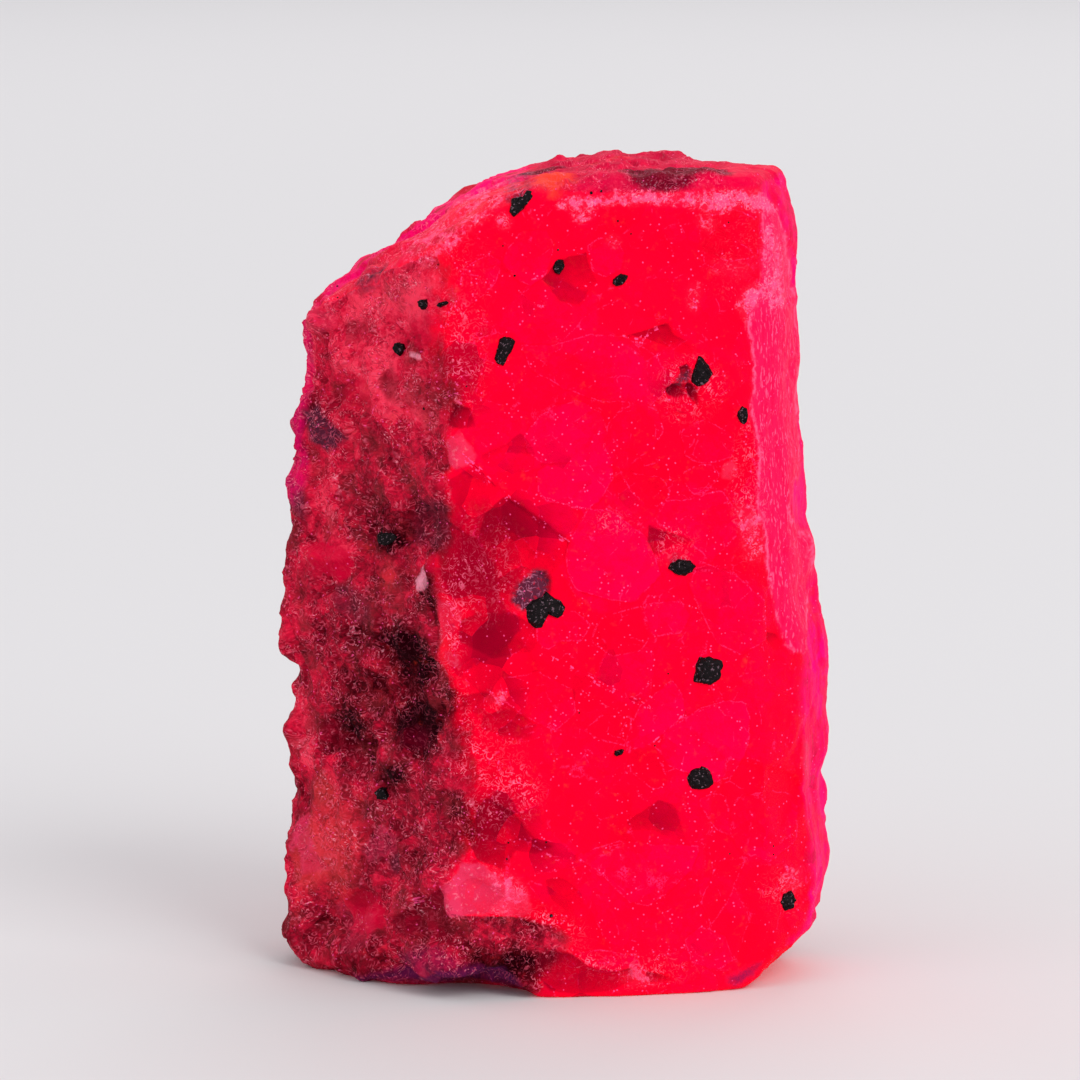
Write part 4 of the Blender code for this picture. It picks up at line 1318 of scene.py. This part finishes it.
def settle(tree, points, side, x, up, sink):  # moves a flat grain onto the ruby's side with this turn
    look = Matrix.Rotation(math.radians(side), 3, "Z")
    hit, normal = tree.ray_cast(look @ Vector((x, -40, up)) * mm, look @ Vector((0, 1, 0)))[:2]
    outward = (normal + look @ Vector((0, -0.6, 0))).normalized()
    right = Vector((0, 0, 1)).cross(outward).normalized()
    turned = Matrix((right, outward.cross(right), outward)).transposed().to_4x4()
    place = Matrix.Translation(hit - outward * sink * mm) @ turned @ Matrix.Scale(mm, 4)
    for point in points:
        point.co = place @ point.co


def placeGrain(name, shape, material):
    grain = addThing(name, meshOf(shape, name))
    grain.data.shade_smooth()
    grain.data.materials.append(material)
    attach(grain, "root")


def buildGrains(ruby):
    print("grains: setting them in the ruby")
    bpy.context.view_layer.update()
    tree = BVHTree.FromObject(ruby, bpy.context.evaluated_depsgraph_get())
    material = grainMaterial()
    draw = random.Random(11)
    thickness = darkGrains["thickness"]
    sink = thickness * 0.6 - darkGrains["height"]
    shapes = {}
    for name, (x, up, width, height, turn) in darkGrains["places"].items():
        spread = darkGrains["spread"]["places"]
        shapes[name] = (0, x, up, roughOutline(width * spread, height * spread, turn, draw))
    for name, corners in darkGrains["drawn"].items():
        middle = sum((Vector(corner) for corner in corners), Vector((0, 0))) / len(corners)
        spread = darkGrains["spread"]["drawn"]
        corners = [(Vector(corner) - middle) * spread for corner in corners]
        shapes[name] = (0, middle.x, middle.y, corners)
    for name, (side, x, up, width, height, turn) in darkGrains["around"].items():
        shapes[name] = (side, x, up, roughOutline(width, height, turn, draw))
    for name, (side, x, up, corners) in shapes.items():
        shape = bmesh.new()
        settle(tree, addGrain(shape, corners, thickness, 5), side, x, up, sink)
        placeGrain(name, shape, material)
    specks = bmesh.new()
    for x, up, size in darkGrains["specks"]:
        corners = roughOutline(size, size, 0, draw)
        settle(tree, addGrain(specks, corners, size * 0.6, 3), 0, x, up, size * 0.15)
    placeGrain("grain_specks", specks, material)


studio = {
    "floorRadius": 4.0,
    "floorColour": srgb(222, 220, 220),
    "sky": srgb(232, 232, 236),
    "skyStrength": 0.95,
    "lampTarget": (0, 0, 0.025),
    # name: place (m), size (m), power (W)
    "lamps": {
        "key": ((0.70, -0.86, 0.86), 0.75, 7.5),
        "fill": ((-1.10, -0.80, 0.50), 0.90, 1.2),
        "back": ((0.20, 1.10, 1.00), 0.80, 3.2),
    },
}

view = {
    "rise": 8.0,  # degrees above level
    "distance": 0.360,
    "across": 0.06706,  # metres that the frame covers at that distance
    "shiftRight": -0.00098,
    "shiftUp": 0.00147,
}


def buildFloor():
    shape = bmesh.new()
    bmesh.ops.create_circle(shape, cap_ends=True, segments=96, radius=studio["floorRadius"])
    material, net, shader = newMaterial("floor")
    net.feed(shader, {"Base Color": studio["floorColour"], "Roughness": 0.9, "Specular IOR Level": 0.1})
    floor = addThing("floor", meshOf(shape, "floor"))
    floor.data.materials.append(material)


def aim(thing, target):
    direction = target - thing.location
    thing.rotation_euler = direction.to_track_quat("-Z", "Y").to_euler()


def buildLights():
    for name, (place, size, power) in studio["lamps"].items():
        lamp = bpy.data.lights.new(name, "AREA")
        lamp.size = size
        lamp.energy = power
        thing = addThing(name, lamp)
        thing.location = place
        aim(thing, Vector(studio["lampTarget"]))
    world = bpy.data.worlds.new("studio")
    world.use_nodes = True
    background = world.node_tree.nodes["Background"]
    background.inputs["Color"].default_value = studio["sky"]
    background.inputs["Strength"].default_value = studio["skyStrength"]
    bpy.context.scene.world = world
    bpy.context.scene.view_settings.view_transform = "Standard"


def buildCamera():
    low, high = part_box("ruby_crystal")
    middle = Vector((0, 0, (low.z + high.z) / 2))
    rise = math.radians(view["rise"])
    backward = Vector((0, -math.cos(rise), math.sin(rise)))
    upward = Vector((0, math.sin(rise), math.cos(rise)))
    shift = Vector((view["shiftRight"], 0, 0)) + upward * view["shiftUp"]
    lens = bpy.data.cameras.new("camera")
    lens.sensor_width = 36.0
    lens.lens = 36.0 * view["distance"] / view["across"]
    camera = addThing("camera", lens)
    camera.location = middle + shift + backward * view["distance"]
    aim(camera, middle + shift)
    bpy.context.scene.camera = camera


buildCamera()
buildFloor()
buildLights()
ruby = buildStone()
buildGrains(ruby)
